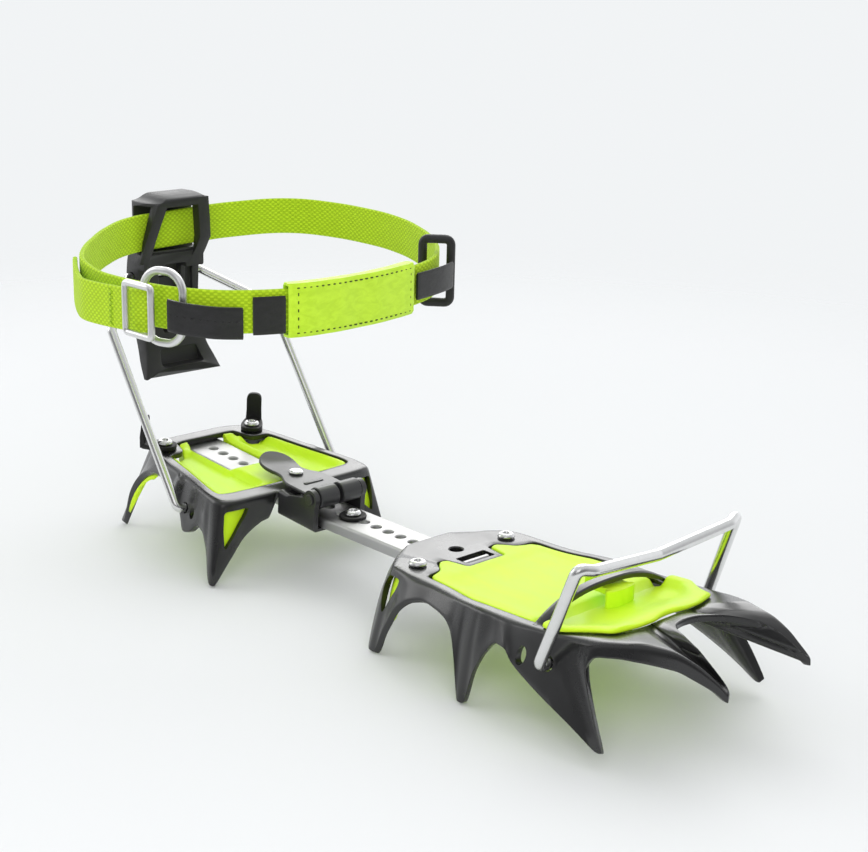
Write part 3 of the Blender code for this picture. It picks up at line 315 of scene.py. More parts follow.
BLACK_STEEL = steel_paint("black_steel")
ADJUSTER_STEEL = steel_paint("adjuster_steel", 0.018, 0.40, 0.45)
LIME_PLATE = lime_plastic("lime_plate")
BAR_STEEL = bare_metal("bar_steel", 0.45, 0.42, (0.10, 1, 1), 1400)
WIRE_STEEL = bare_metal("wire_steel", 0.72, 0.19, (0.5, 0.5, 0.5), 900, 0.0001, 0.12)
RING_STEEL = bare_metal("ring_steel", 0.72, 0.32, (1, 1, 1), 1100, 0.0001, 0.15)
RIVET_STEEL = bare_metal("rivet_steel", 0.66, 0.24, (1, 1, 1), 1300, 0.0002, 0.25)
LEVER_PLASTIC = moulded_black("lever_plastic", 0.013, 0.44, 0.8, 0.5)
RUBBER = moulded_black("tab_rubber", 0.006, 0.50, 0.6, 0.4)
# The third colour of each weave is painted shade for the valleys between its yarns.
LIME_WEB = woven("lime_webbing", (0.49, 0.74, 0.016), (0.63, 0.88, 0.032), (0.37, 0.58, 0.011))
SLEEVE = coated_fabric("sleeve_fabric", (0.50, 0.79, 0.016), (0.60, 0.90, 0.030), 0.5, 0.35)
TAPE = coated_fabric("black_tape", (0.007, 0.007, 0.0075), (0.012, 0.012, 0.013), 0.46, 0.4)
THREAD_DARK = woven("dark_thread", (0.05, 0.10, 0.006), (0.09, 0.16, 0.010), (0.03, 0.06, 0.004), 0.4, 0.3)
THREAD_BLACK = woven("black_thread", (0.02, 0.02, 0.02), (0.045, 0.045, 0.045), (0.01, 0.01, 0.01), 0.4, 0.3)
THREAD_LIME = woven("lime_thread", (0.40, 0.66, 0.012), (0.60, 0.88, 0.03), (0.2, 0.36, 0.006), 0.4, 0.3)


# ---------------------------------------------------------------- mesh helpers
def build(name, verts, faces, mat, body=None, nodes=(), heel=False, angle=38, uvs=None, flip_check=True):
    """A mesh from layout (or heel) millimetres."""
    convert = (lambda p: metres(on_heel(p))) if heel else metres
    mesh = bpy.data.meshes.new(name)
    mesh.from_pydata([convert(v) for v in verts], [], faces)
    if uvs:
        layer = mesh.uv_layers.new(name="UVMap")
        for poly in mesh.polygons:
            for loop in poly.loop_indices:
                layer.data[loop].uv = uvs[mesh.loops[loop].vertex_index]
    if flip_check:
        bm = bmesh.new()
        bm.from_mesh(mesh)
        bmesh.ops.recalc_face_normals(bm, faces=bm.faces)
        bm.to_mesh(mesh)
        bm.free()
    mesh.materials.append(mat)
    mesh.shade_smooth()
    mesh.set_sharp_from_angle(angle=math.radians(angle))
    obj = bpy.data.objects.new(name, mesh)
    bpy.context.scene.collection.objects.link(obj)
    if body:
        dress(obj, body, nodes)
    return obj


def dress(obj, body, nodes=()):
    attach(obj, body)
    if nodes:
        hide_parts(*nodes)
    return obj


def bake(obj, angle=38):
    graph = bpy.context.evaluated_depsgraph_get()
    mesh = bpy.data.meshes.new_from_object(obj.evaluated_get(graph))
    obj.modifiers.clear()
    obj.data = mesh
    mesh.shade_smooth()
    mesh.set_sharp_from_angle(angle=math.radians(angle))
    return obj


def combine(obj, others, operation, angle=38):
    for other in others:
        mod = obj.modifiers.new(operation.lower(), "BOOLEAN")
        mod.operation = operation
        mod.solver = "EXACT"
        mod.object = other
    bpy.context.view_layer.update()
    bake(obj, angle)
    for other in others:
        bpy.data.objects.remove(other, do_unlink=True)
    return obj


def soften(obj, width, segments=3, angle=30, harden=True):
    """Rounds the sharp edges."""
    mod = obj.modifiers.new("round", "BEVEL")
    mod.width = width * MM
    mod.segments = segments
    mod.limit_method = "ANGLE"
    mod.angle_limit = math.radians(angle)
    mod.use_clamp_overlap = True
    mod.harden_normals = False
    bpy.context.view_layer.update()
    return bake(obj, 50)


def prism(name, outline, low, high, mat, axis="z", heel=False, lift=None):
    def point(u, v, w):
        if axis == "z":
            return (u, v, w + (lift(u, v) if lift else 0.0))
        if axis == "y":
            return (u, w, v)
        return (w, u, v)
    n = len(outline)
    verts = [point(u, v, low) for u, v in outline] + [point(u, v, high) for u, v in outline]
    faces = [tuple(range(n))[::-1], tuple(range(n, 2 * n))]
    faces += [(i, (i + 1) % n, n + (i + 1) % n, n + i) for i in range(n)]
    return build(name, verts, faces, mat, heel=heel)


def round_outline(cx, cy, rx, ry=None, n=48):
    ry = ry or rx
    return [(cx + rx * math.cos(2 * math.pi * i / n), cy + ry * math.sin(2 * math.pi * i / n)) for i in range(n)]


def rounded_outline(corners, radius, steps=6, closed=True):
    """A closed 2-D outline with each corner turned into an arc. radius may be one value or one for each corner."""
    points = []
    n = len(corners)
    for i in range(n):
        a, b, c = Vector(corners[i - 1]), Vector(corners[i]), Vector(corners[(i + 1) % n])
        r = radius[i] if isinstance(radius, (list, tuple)) else radius
        cut = min(r, 0.48 * (a - b).length, 0.48 * (c - b).length)
        p0, p1 = b + (a - b).normalized() * cut, b + (c - b).normalized() * cut
        for k in range(steps + 1):
            t = k / steps
            points.append(tuple(p0 * (1 - t) ** 2 + b * 2 * t * (1 - t) + p1 * t ** 2))
    return points


def turned(name, profile, centre, mat, n=48, heel=False, body=None, nodes=(), axis="z", angle=30):
    """A profile of (radius, height) pairs turned about an axis at the centre."""
    verts, faces, rings = [], [], []
    for r, z in profile:
        if r == 0:
            rings.append([len(verts)])
            ring = [(0.0, 0.0, z)]
        else:
            rings.append(list(range(len(verts), len(verts) + n)))
            ring = [(r * math.cos(2 * math.pi * i / n), r * math.sin(2 * math.pi * i / n), z) for i in range(n)]
        for x, y, h in ring:
            if axis == "y":
                x, y, h = x, h, y
            elif axis == "x":
                x, y, h = h, x, y
            verts.append((centre[0] + x, centre[1] + y, centre[2] + h))
    for a, b in zip(rings[:-1], rings[1:]):
        for i in range(n):
            j = (i + 1) % n
            face = list(dict.fromkeys([a[i % len(a)], a[j % len(a)], b[j % len(b)], b[i % len(b)]]))
            if len(face) > 2:
                faces.append(face)
    return build(name, verts, faces, mat, body, nodes, heel, angle)


def loft(name, rings, mat, closed=False, body=None, nodes=(), heel=False, angle=38, uvs=None):
    n = len(rings[0])
    verts = [p for ring in rings for p in ring]
    faces = []
    for s in range(len(rings) if closed else len(rings) - 1):
        a, b = s * n, ((s + 1) % len(rings)) * n
        faces += [(a + i, a + (i + 1) % n, b + (i + 1) % n, b + i) for i in range(n)]
    if not closed:
        faces += [tuple(range(n))[::-1], tuple(range((len(rings) - 1) * n, len(rings) * n))]
    return build(name, verts, faces, mat, body, nodes, heel, angle, uvs)


def rounded_path(corners, radius, steps=12):
    points = [Vector(corners[0])]
    for i in range(1, len(corners) - 1):
        a, b, c = Vector(corners[i - 1]), Vector(corners[i]), Vector(corners[i + 1])
        d0, d1 = (a - b).normalized(), (c - b).normalized()
        half = d0.angle(d1) / 2
        cut = min(radius / math.tan(half), 0.45 * (a - b).length, 0.45 * (c - b).length)
        p0, p1 = b + d0 * cut, b + d1 * cut
        for k in range(steps + 1):
            t = k / steps
            points.append(p0 * (1 - t) ** 2 + b * 2 * t * (1 - t) + p1 * t ** 2)
    points.append(Vector(corners[-1]))
    return points


def sweep(name, points, radius, mat, body, nodes=(), closed=False, sides=20, heel=False, flat=None, ends="round"):
    """A round wire along points with frames carried along it. flat(s) gives (side, normal) scales at arc length s."""
    pts = [Vector(p) for p in points]
    n = len(pts)
    tangents = []
    for i in range(n):
        a = pts[i - 1] if (closed or i) else pts[i]
        b = pts[(i + 1) % n] if (closed or i < n - 1) else pts[i]
        tangents.append((b - a).normalized())
    side = tangents[0].cross(Vector((0.13, 0.27, 0.95))).normalized()
    sides_list = []
    for t in tangents:
        side = (side - t * side.dot(t)).normalized()
        sides_list.append(side.copy())
    if closed:
        twist = sides_list[0].angle(sides_list[-1])
        sign = 1 if sides_list[-1].cross(sides_list[0]).dot(tangents[0]) > 0 else -1
        for i in range(n):
            sides_list[i] = Matrix.Rotation(sign * twist * i / (n - 1), 3, tangents[i]) @ sides_list[i]
    rings, s = [], 0.0

    def ring(at, t, sd, r, sx=1.0, sy=1.0):
        nn = t.cross(sd)
        return [at + sd * r * sx * math.cos(2 * math.pi * k / sides) + nn * r * sy * math.sin(2 * math.pi * k / sides) for k in range(sides)]

    if not closed and ends == "round":
        for k in range(4):
            a = math.radians(8 + 82 * k / 4)
            rings.append(ring(pts[0] + tangents[0] * radius * 0.6 * (1 - math.sin(a)), tangents[0], sides_list[0], radius * (0.55 + 0.45 * math.sin(a))))
    for i in range(n):
        if i:
            s += (pts[i] - pts[i - 1]).length
        sx, sy = flat(s) if flat else (1.0, 1.0)
        if not closed and ends == "round" and i in (0, n - 1):
            continue
        rings.append(ring(pts[i], tangents[i], sides_list[i], radius, sx, sy))
    if not closed and ends == "round":
        for k in range(3, -1, -1):
            a = math.radians(8 + 82 * k / 4)
            rings.append(ring(pts[-1] - tangents[-1] * radius * 0.6 * (1 - math.sin(a)), tangents[-1], sides_list[-1], radius * (0.55 + 0.45 * math.sin(a))))
    return loft(name, rings, mat, closed, body, nodes, heel, 45)


def smooth_through(keys, spacing, closed=True):
    """Monotone cubic through key rows of numbers: no overshoot, so a tip never passes its key point."""
    n = len(keys)
    rows = keys + [keys[0]] if closed else keys
    dist = [0.0]
    for a, b in zip(rows[:-1], rows[1:]):
        dist.append(dist[-1] + max(0.3, math.sqrt(sum((q - p) ** 2 for p, q in zip(a, b)) / (len(a) / 3))))
    size = len(keys[0])
    slopes = []
    for i in range(len(rows)):
        row = []
        for c in range(size):
            if closed:
                hi = dist[1] - dist[0] if i in (0, len(rows) - 1) else dist[i + 1] - dist[i]
                lo = dist[-1] - dist[-2] if i in (0, len(rows) - 1) else dist[i] - dist[i - 1]
                d1 = (rows[1][c] - rows[0][c]) / hi if i in (0, len(rows) - 1) else (rows[i + 1][c] - rows[i][c]) / hi
                d0 = (rows[-1][c] - rows[-2][c]) / lo if i in (0, len(rows) - 1) else (rows[i][c] - rows[i - 1][c]) / lo
            elif i in (0, len(rows) - 1):
                j = 0 if i == 0 else len(rows) - 2
                row.append((rows[j + 1][c] - rows[j][c]) / (dist[j + 1] - dist[j]))
                continue
            else:
                hi, lo = dist[i + 1] - dist[i], dist[i] - dist[i - 1]
                d1, d0 = (rows[i + 1][c] - rows[i][c]) / hi, (rows[i][c] - rows[i - 1][c]) / lo
            row.append(0.0 if d0 * d1 <= 0 else 3 * (hi + lo) / ((2 * hi + lo) / d0 + (hi + 2 * lo) / d1))
        slopes.append(row)
    out, stamps = [], []
    for i in range(len(rows) - 1):
        h = dist[i + 1] - dist[i]
        steps = max(1, int(round(h / spacing)))
        for k in range(steps):
            t = k / steps
            h00, h10, h01, h11 = 2 * t ** 3 - 3 * t ** 2 + 1, t ** 3 - 2 * t ** 2 + t, -2 * t ** 3 + 3 * t ** 2, t ** 3 - t ** 2
            out.append([h00 * rows[i][c] + h10 * h * slopes[i][c] + h01 * rows[i + 1][c] + h11 * h * slopes[i + 1][c] for c in range(size)])
            stamps.append(i + t)
    if not closed:
        out.append(list(rows[-1]))
        stamps.append(len(rows) - 1)
    return out, stamps


# ---------------------------------------------------------------- pressed steel frames
def spread(x):
    table = [(-10, 22, 30.0), (5, 28.8, 30.4), (13, 30.4, 30.3), (29, 30.9, 30.4), (37, 31.9, 30.5), (45, 33.5, 31.0),
             (53, 34.7, 31.5), (69, 34.1, 31.8), (85, 33.4, 33.0), (101, 31.7, 35.1), (109, 29.4, 36.5), (117, 26.2, 37.7),
             (125, 23.9, 37.6), (133, 22.3, 35.6), (139, 21.0, 32.4), (143, 20.0, 29.2)]
    for (x0, w0, z0), (x1, w1, z1) in zip(table[:-1], table[1:]):
        if x <= x1:
            t = max(0.0, (x - x0) / (x1 - x0))
            return w0 + (w1 - w0) * t, z0 + (z1 - z0) * t
    return table[-1][1], table[-1][2]


def rail_top(x):
    return spread(x)[1]


def rail_smooth(x):
    return sum(rail_top(x + d) for d in (-4, -2, 0, 2, 4)) / 5


def front_station(inner, ridge_x, lower):
    w, z = spread(ridge_x)
    return ((inner[0], inner[1], rail_top(inner[0])), (ridge_x, w, z), lower)


FRONT = [
    ((21.5, 0, 30.0), (-8.6, 0, 30.0), (-8.6, 0, 30.0)),
    ((21.5, 8.5, 30.0), (-8.4, 9.5, 30.0), (-8.4, 9.5, 30.0)),
    ((12.5, 10.0, 30.0), (-7.0, 13.2, 30.0), (-8.8, 13.8, 25.6)),
    ((11.5, 13.5, 30.0), (-4.2, 17.8, 30.0), (-6.6, 19.2, 24.6)),
    ((14.0, 16.0, 30.2), (-0.8, 22.5, 30.4), (-3.6, 25.0, 21.0)),
    ((17.0, 18.0, 30.2), (2.2, 26.3, 30.4), (-0.8, 31.0, 11.0)),
    ((18.5, 21.5, 30.2), (4.6, 28.4, 30.4), (2.4, 36.0, 0.0)),
    ((18.8, 24.0, 30.2), (7.0, 29.2, 30.4), (4.6, 36.4, 0.0)),
    front_station((20, 26.0), 10.5, (8.6, 36.2, 9.6)),
    front_station((22, 26.6), 15, (13.5, 35.8, 19.0)),
    front_station((25, 26.8), 20, (19.5, 34.8, 23.8)),
    front_station((29, 27.0), 26.5, (26.0, 34.0, 25.2)),
    front_station((34, 27.6), 33, (33.0, 35.0, 24.8)),
    front_station((39, 28.6), 38.5, (38.5, 36.0, 23.6)),
    front_station((42.5, 29.4), 42, (42.8, 37.2, 20.5)),
    front_station((45, 29.8), 45, (46.6, 38.6, 13.5)),
    front_station((47.5, 30.0), 47.5, (50.2, 40.0, 2.6)),
    front_station((49.5, 30.0), 49.5, (51.6, 40.4, 0.0)),
    front_station((51.5, 30.0), 52, (53.4, 40.4, 0.0)),
    front_station((54, 30.0), 55, (56.8, 39.4, 12.0)),
    front_station((56.5, 30.0), 58, (60.4, 38.4, 19.8)),
    front_station((59.5, 29.8), 61, (64.2, 38.0, 24.2)),
    front_station((63, 29.6), 64.5, (68.6, 38.8, 24.2)),
    front_station((66.5, 29.6), 68, (72.8, 39.4, 20.8)),
    front_station((70, 29.6), 71.5, (79.6, 40.2, 17.8)),
    front_station((74, 29.6), 75, (89.5, 41.0, 14.0)),
    front_station((78, 29.6), 79, (99.3, 41.2, 10.2)),
    front_station((82, 29.6), 83, (104.2, 41.2, 8.0)),
    front_station((85.5, 29.0), 87, (111.4, 41.0, 4.9)),
    front_station((88.5, 28.4), 90.5, (112.9, 40.8, 5.4)),
    front_station((91.5, 27.0), 94, (108.4, 39.4, 14.0)),
    front_station((94.5, 25.2), 97, (103.2, 37.6, 22.0)),
    front_station((97, 23.2), 99.5, (100.4, 35.8, 27.0)),
    front_station((99, 21.2), 102, (101.4, 33.6, 30.2)),
    front_station((100.6, 19.2), 105.5, (106.2, 31.8, 31.4)),
    front_station((101.8, 17.2), 110, (111.2, 30.0, 32.0)),
    front_station((102.4, 15.4), 117, (118.2, 27.0, 32.0)),
    front_station((102.7, 13.8), 125, (126.0, 24.5, 32.0)),
    front_station((102.9, 12.4), 133, (133.4, 22.8, 30.4)),
    front_station((103, 11.2), 139, (139.2, 21.4, 28.6)),
    ((103, 10.2, 35.4), (143.0, 20.4, 29.6), (143.2, 20.5, 26.6)),
    ((103, 9.2, 35.4), (142.8, 19.6, 29.8), (142.8, 19.6, 29.8)),
    ((103, 8.2, 35.5), (133.4, 17.6, 35.4), (133.4, 17.6, 35.4)),
    ((103, 7.2, 35.5), (127, 15.6, 37.4), (127, 15.6, 37.4)),
    ((103, 6.0, 35.5), (120, 12.4, 37.8), (120, 12.4, 37.8)),
    ((103, 4.4, 35.6), (113.5, 8.4, 37.2), (113.5, 8.4, 37.2)),
    ((103, 2.4, 35.6), (110, 4.0, 36.7), (110, 4.0, 36.7)),
    ((103, 0, 35.6), (109.2, 0, 36.5), (109.2, 0, 36.5)),
]

HEEL = [
    ((-57.0, 0, 0), (-64.6, 0, 0), (-65.4, 0, -4.6)),
    ((-57.0, 9.0, 0), (-64.6, 9, 0), (-65.4, 9, -4.6)),
    ((-56.3, 14.0, 0), (-64.2, 15, 0), (-65.4, 16, -5.2)),
    ((-51.5, 15.6, 0), (-62.8, 20, 0), (-65.6, 22, -9.0)),
    ((-47.5, 17.5, 0), (-61.0, 23.2, 0), (-67.6, 26.6, -21.0)),
    ((-46.6, 20.0, 0), (-59.0, 25.2, 0), (-72.4, 30.0, -36.1)),
    ((-46.4, 22.4, 0), (-56.6, 26.3, 0), (-70.8, 30.6, -36.1)),
    ((-45.5, 24.4, 0), (-53.2, 27.3, 0), (-64.4, 31.2, -20.0)),
    ((-43, 25.4, 0), (-49, 28.3, 0), (-57.4, 31.4, -11.0)),
    ((-39, 26.2, 0), (-44, 29.3, 0), (-49.6, 32.0, -6.4)),
    ((-35, 26.9, 0), (-38, 30.4, 0), (-41.5, 33.0, -5.2)),
    ((-30, 27.8, 0), (-31, 31.6, 0), (-32.5, 34.2, -5.4)),
    ((-24, 29.0, 0), (-24.5, 33.0, 0), (-24.5, 36.2, -7.5)),
    ((-19, 30.0, 0), (-19.5, 34.0, 0), (-19.4, 38.0, -14.5)),
    ((-15, 30.9, 0), (-15.5, 34.8, 0), (-15.4, 39.3, -18.8)),
    ((-11.5, 31.6, 0), (-12, 35.5, 0), (-11.2, 39.4, -17.4)),
    ((-8, 32.3, 0), (-8.6, 36.1, 0), (-6.6, 39.0, -13.6)),
    ((-5, 32.6, 0), (-5.2, 36.7, 0), (-2.6, 39.6, -14.4)),
    ((-2.8, 32.4, 0), (-2, 37.2, 0), (1.2, 40.6, -19.0)),
    ((-1.6, 31.4, 0), (1.6, 37.4, 0), (9.8, 44.4, -30.85)),
    ((-1.0, 29.6, 0), (5.0, 36.6, 0), (11.4, 43.6, -30.85)),
    ((-0.6, 27.4, 0), (7.2, 33.8, 0), (9.0, 34.0, -23.0)),
    ((-0.4, 24.4, 0), (8.2, 30, 0), (6.4, 25.6, -16.6)),
    ((-0.2, 20.0, 0), (8.6, 23.5, 0), (5.4, 19.5, -13.8)),
    ((0, 15.0, 0), (8.8, 17.4, 0), (5.2, 16.2, -12.6)),
    ((0, 11.0, 0), (8.8, 13.4, 0), (5.2, 13.4, -12.0)),
    ((0, 9.0, 0), (8.8, 12.0, 0), (8.8, 12.0, 0)),
    ((0, 0, 0), (8.8, 0, 0), (8.8, 0, 0)),
]


def full_ring(half):
    """Stations of both sides, closed, with a wall-less edge given a wall as tall as the sheet."""
    rows = []
    for inner, ridge, lower in half:
        low = Vector(lower)
        if (low - Vector(ridge)).length < 0.01:
            low = Vector(ridge) - Vector((0, 0, SHEET))
        rows.append([*inner, *ridge, *low])
    mirror = [[r[0], -r[1], r[2], r[3], -r[4], r[5], r[6], -r[7], r[8]] for r in rows]
    return mirror + rows[-2:0:-1]


def frame_section(row, radius, press=None):
    """The rounded closed section at one station, 40 points, with small radii on both cut edges."""
    inner, ridge, lower = Vector(row[0:3]), Vector(row[3:6]), Vector(row[6:9])
    rail = inner - ridge
    r = rail.normalized()
    n1 = (Vector((0, 0, 1)) - r * r.z).normalized()
    fall = lower - ridge
    f = fall.normalized()
    n2 = (r - f * r.dot(f)).normalized()
    length = fall.length
    wall = max(length, SHEET * 1.0)
    rad = min(radius, 0.38 * rail.length, 0.42 * wall)
    e = 0.35
    top_in = [inner - n1 * e, inner - r * e * 0.3 - n1 * e * 0.3, inner - r * e]
    top = [ridge + r * (rad + (rail.length - rad - e) * t) for t in (0.75, 0.5, 0.25)]
    arc = []
    a, b = ridge + r * rad, ridge + f * rad
    for k in range(7):
        t = k / 6
        arc.append(a * (1 - t) ** 2 + ridge * 2 * t * (1 - t) + b * t ** 2)
    side = [ridge + f * (rad + (length - rad - e) * t) for t in (0.16, 0.32, 0.48, 0.64, 0.82)]
    foot = [lower - f * e, lower + (n2 - f) * e * 0.3, lower + n2 * e, lower + n2 * (SHEET - e), lower + n2 * (SHEET - e * 0.3) - f * e * 0.3, lower + n2 * SHEET - f * e]
    bottom_in = lower + n2 * SHEET - f * e
    corner = ridge + r * (SHEET / max(0.3, r.dot(n2))) + f * (SHEET / max(0.3, -f.dot(n1)))
    reach = (bottom_in - corner).dot(f)
    inside = []
    small = min(0.8, max(0.02, 0.45 * reach)) if reach > 0 else 0.02
    for t in (0.82, 0.64, 0.48, 0.32, 0.16):
        inside.append(corner + f * (small + max(0.0, reach - small) * t))
    fillet_a, fillet_b = corner + f * small, corner + r * min(0.8, 0.3 * rail.length)
    fillet = []
    for k in range(4):
        t = k / 3
        fillet.append(fillet_a * (1 - t) ** 2 + corner * 2 * t * (1 - t) + fillet_b * t ** 2)
    edge_in = inner - n1 * (SHEET - e)
    under_end = inner - n1 * SHEET - r * e
    under = [fillet_b + (under_end - fillet_b) * t for t in (0.25, 0.5, 0.75)]
    last = [under_end, inner - n1 * (SHEET - e * 0.3) - r * e * 0.3, edge_in]
    points = top_in + top + arc + side + foot + inside + fillet + under + last
    if press:
        n0, n3 = len(top_in) + len(top) + 3, len(top_in) + len(top) + len(arc) + len(side) + len(foot) + len(inside)
        for k in range(n0, n3):
            t = max(0.0, min(1.0, (points[k] - ridge).dot(f) / max(0.1, length)))
            points[k] = points[k] - n2 * press(row, t, length)
    return points


def hill(x, centre, half):
    d = abs(x - centre) / half
    return 0.0 if d >= 1 else (1 - d * d) ** 2


def tent(x, centre, half, round_off=0.18):
    d = math.sqrt((abs(x - centre) / half) ** 2 + round_off ** 2) - round_off
    return max(0.0, 1 - d)


def press_front(row, t, length):
    """Pressed shapes of the walls: a crease down each side point, and a shallow swage along the wall."""
    x = row[3]
    out = 0.0
    if length > 8:
        fade = min(1.0, t * 2.5)
        out += 1.5 * tent(x, 50.6, 7.5) * fade
        out += 1.2 * tent(x, 5.6, 5.5) * fade
    out += 0.5 * hill(x, 78, 15) * hill(t, 0.30, 0.32)
    return out


def press_heel(row, t, length):
    x = row[3]
    out = 0.0
    if row[3] < -1 and abs(row[4]) > 30:
        out += 1.3 * tent(x, -25.6, 3.2, 0.1) * min(1.0, 4 * t) * min(1.0, 5 * max(0.0, 1.05 - t))
        out += 0.35 * hill(x, -3.6, 3.0) * hill(t, 0.5, 0.5)
    return out


def steel_frame(name, half, press, radius, heel, spacing):
    rows, _ = smooth_through(full_ring(half), spacing)
    return loft(name, [frame_section(row, radius, press) for row in rows], BLACK_STEEL, True, heel=heel, angle=42)


def drill(name, centre, r, top, bottom, heel=False, chamfer=0.45, n=40, axis="z", ry=None):
    """A cutter with a countersunk mouth at its top end."""
    profile = [(0, bottom), (r, bottom), (r, top - chamfer), (r + chamfer, top), (r + chamfer + 1.2, top + 1.2), (0, top + 1.2)]
    return turned(name, profile, centre, BLACK_STEEL, n, heel, axis=axis)


def strut_point(x, y, above):
    edge, z = spread(x)
    return z - 2.1 + 8.3 * (1 - min(1.0, abs(y) / 31.0) ** 2.6) + above


front_steel = steel_frame("front_steel", FRONT, press_front, 2.5, False, 0.95)
strut_rings = []
for i in range(81):
    y = -31.8 + 63.6 * i / 80
    z = strut_point(75, y, 0)
    c = 0.45
    strut_rings.append([(74.2 + c, y, z), (78.0 - c, y, z), (78.0, y, z + c), (78.0, y, z + 2.2 - c), (78.0 - c, y, z + 2.2), (76.1, y, z + 2.26), (74.2 + c, y, z + 2.2), (74.2, y, z + 2.2 - c), (74.2, y, z + c)])
strut = loft("strut_tool", strut_rings, BLACK_STEEL)
combine(front_steel, [strut], "UNION", 42)
cuts = [
    prism("cut", rounded_outline([(13.2, -7), (19.2, -7), (19.2, 7), (13.2, 7)], 0.9), 24, 36, BLACK_STEEL),
    drill("cut", (6.4, 0, 30.02), 2.5, 0, -8),
    prism("cut", round_outline(9.9, -21.7, 2.3), 24, 36, BLACK_STEEL),
    prism("cut", round_outline(9.9, 21.7, 2.3), 24, 36, BLACK_STEEL),
]
for side in (-1, 1):
    cuts.append(prism("cut", round_outline(BAIL_X, BAIL_Z, 2.5), side * 30, side * 47, BLACK_STEEL, "y"))
    cuts.append(prism("cut", round_outline(75.6, 23.6, 1.9, 2.9), side * 30, side * 47, BLACK_STEEL, "y"))
    window = rounded_outline([(1.2, 22.5), (4.2, 27.2), (11.0, 27.6), (10.4, 24.2), (7.6, 19.4), (4.6, 13.6)], 1.6)
    cuts.append(prism("cut", window, side * 24.5, side * 46, BLACK_STEEL, "y"))
combine(front_steel, cuts, "DIFFERENCE", 42)
dress(front_steel, "front_section", ["front_frame"])

heel_steel = steel_frame("heel_steel", HEEL, press_heel, 2.3, True, 0.8)
cuts = [drill("cut", (4.3, 0, 0.02), 2.5, 0, -8, True)]
for side in (-1, 1):
    cuts.append(prism("cut", round_outline(-53.5, side * 22.0, 2.3), -6, 4, BLACK_STEEL, heel=True))
    cuts.append(prism("cut", round_outline(-17.6, -10.15, 2.2), side * 30, side * 46, BLACK_STEEL, "y", True))
    cuts.append(prism("cut", round_outline(-11.9, -10.3, 1.6, 2.3), side * 30, side * 46, BLACK_STEEL, "y", True))
    window = rounded_outline([(side * 36.2, -3.8), (side * 25.0, -3.8), (side * 26.2, -7.4), (side * 32.2, -14.4), (side * 37.2, -19.0), (side * 37.2, -11)], 1.7)
    cuts.append(prism("cut", window, 1.5, 14, BLACK_STEEL, "x", True))
combine(heel_steel, cuts, "DIFFERENCE", 42)
dress(heel_steel, "heel_section", ["heel_frame"])


# ---------------------------------------------------------------- anti-balling plates
def mirrored(half):
    return [(x, -w) for x, w in half] + [(x, w) for x, w in reversed(half) if w > 0.01]


def moulding(name, outline, low, high, shape, body, nodes, heel=False, corner=1.2, edge=0.7, grid=2.0, mat=None):
    """A plate from its plan outline: rounded upper edge, gridded faces, then each point moved by shape(x, y, top share)."""
    ring = rounded_outline(outline, corner, 4)
    clean = [ring[0]]
    for p in ring[1:]:
        if (Vector(p) - Vector(clean[-1])).length > 0.12:
            clean.append(p)
    if (Vector(clean[0]) - Vector(clean[-1])).length < 0.12:
        clean.pop()
    ring = clean
    n = len(ring)
    area = sum(ring[i][0] * ring[(i + 1) % n][1] - ring[(i + 1) % n][0] * ring[i][1] for i in range(n))
    normals = []
    for i in range(n):
        d = (Vector(ring[(i + 1) % n]) - Vector(ring[i - 1])).normalized()
        normals.append(Vector((-d.y, d.x)) * (1 if area > 0 else -1))
    levels = [(0.35 * edge, low), (0.0, low + 0.35 * edge), (0.0, high - edge)]
    levels += [(edge * (1 - math.cos(math.radians(a))), high - edge + edge * math.sin(math.radians(a))) for a in (22, 45, 68, 90)]
    verts, faces = [], []
    for inset, z in levels:
        verts += [(ring[i][0] + normals[i].x * inset, ring[i][1] + normals[i].y * inset, z) for i in range(n)]
    for s in range(len(levels) - 1):
        a, b = s * n, s * n + n
        faces += [(a + i, a + (i + 1) % n, b + (i + 1) % n, b + i) for i in range(n)]
    faces += [tuple(range(n))[::-1], tuple(range((len(levels) - 1) * n, len(levels) * n))]
    mesh = bpy.data.meshes.new(name)
    mesh.from_pydata(verts, [], faces)
    bm = bmesh.new()
    bm.from_mesh(mesh)
    xs, ys = [p[0] for p in ring], [p[1] for p in ring]
    x = min(xs) + grid / 2
    while x < max(xs):
        bmesh.ops.bisect_plane(bm, geom=list(bm.verts) + list(bm.edges) + list(bm.faces), plane_co=(x, 0, 0), plane_no=(1, 0, 0), dist=1e-5)
        x += grid
    y = min(ys) + grid / 2
    while y < max(ys):
        bmesh.ops.bisect_plane(bm, geom=list(bm.verts) + list(bm.edges) + list(bm.faces), plane_co=(0, y, 0), plane_no=(0, 1, 0), dist=1e-5)
        y += grid
    for v in bm.verts:
        v.co.z += shape(v.co.x, v.co.y, (v.co.z - low) / (high - low))
    convert = (lambda p: metres(on_heel(p))) if heel else metres
    for v in bm.verts:
        v.co = convert(v.co)
    bmesh.ops.recalc_face_normals(bm, faces=bm.faces)
    bm.to_mesh(mesh)
    bm.free()
    mesh.materials.append(mat or LIME_PLATE)
    mesh.shade_smooth()
    mesh.set_sharp_from_angle(angle=math.radians(50))
    obj = bpy.data.objects.new(name, mesh)
    bpy.context.scene.collection.objects.link(obj)
    return obj


def step_up(v, lo, hi):
    t = max(0.0, min(1.0, (v - lo) / (hi - lo)))
    return t * t * (3 - 2 * t)


def main_shape(x, y, top):
    """The main plate follows the rails, with a faint crown and a shallow pan in the middle."""
    z = rail_smooth(x) - 30.4
    z += top * (0.5 * (1 - (abs(y) / 30) ** 2))
    z -= top * 0.5 * step_up(min(x - 24, 74 - x, 26 - abs(y)), 0.5, 3.0)
    if x > 71:
        z -= top * 2.6 * step_up(x, 71.2, 72.2) * (1 - step_up(abs(y), 26.5, 28.5) * 0.0)
    return z


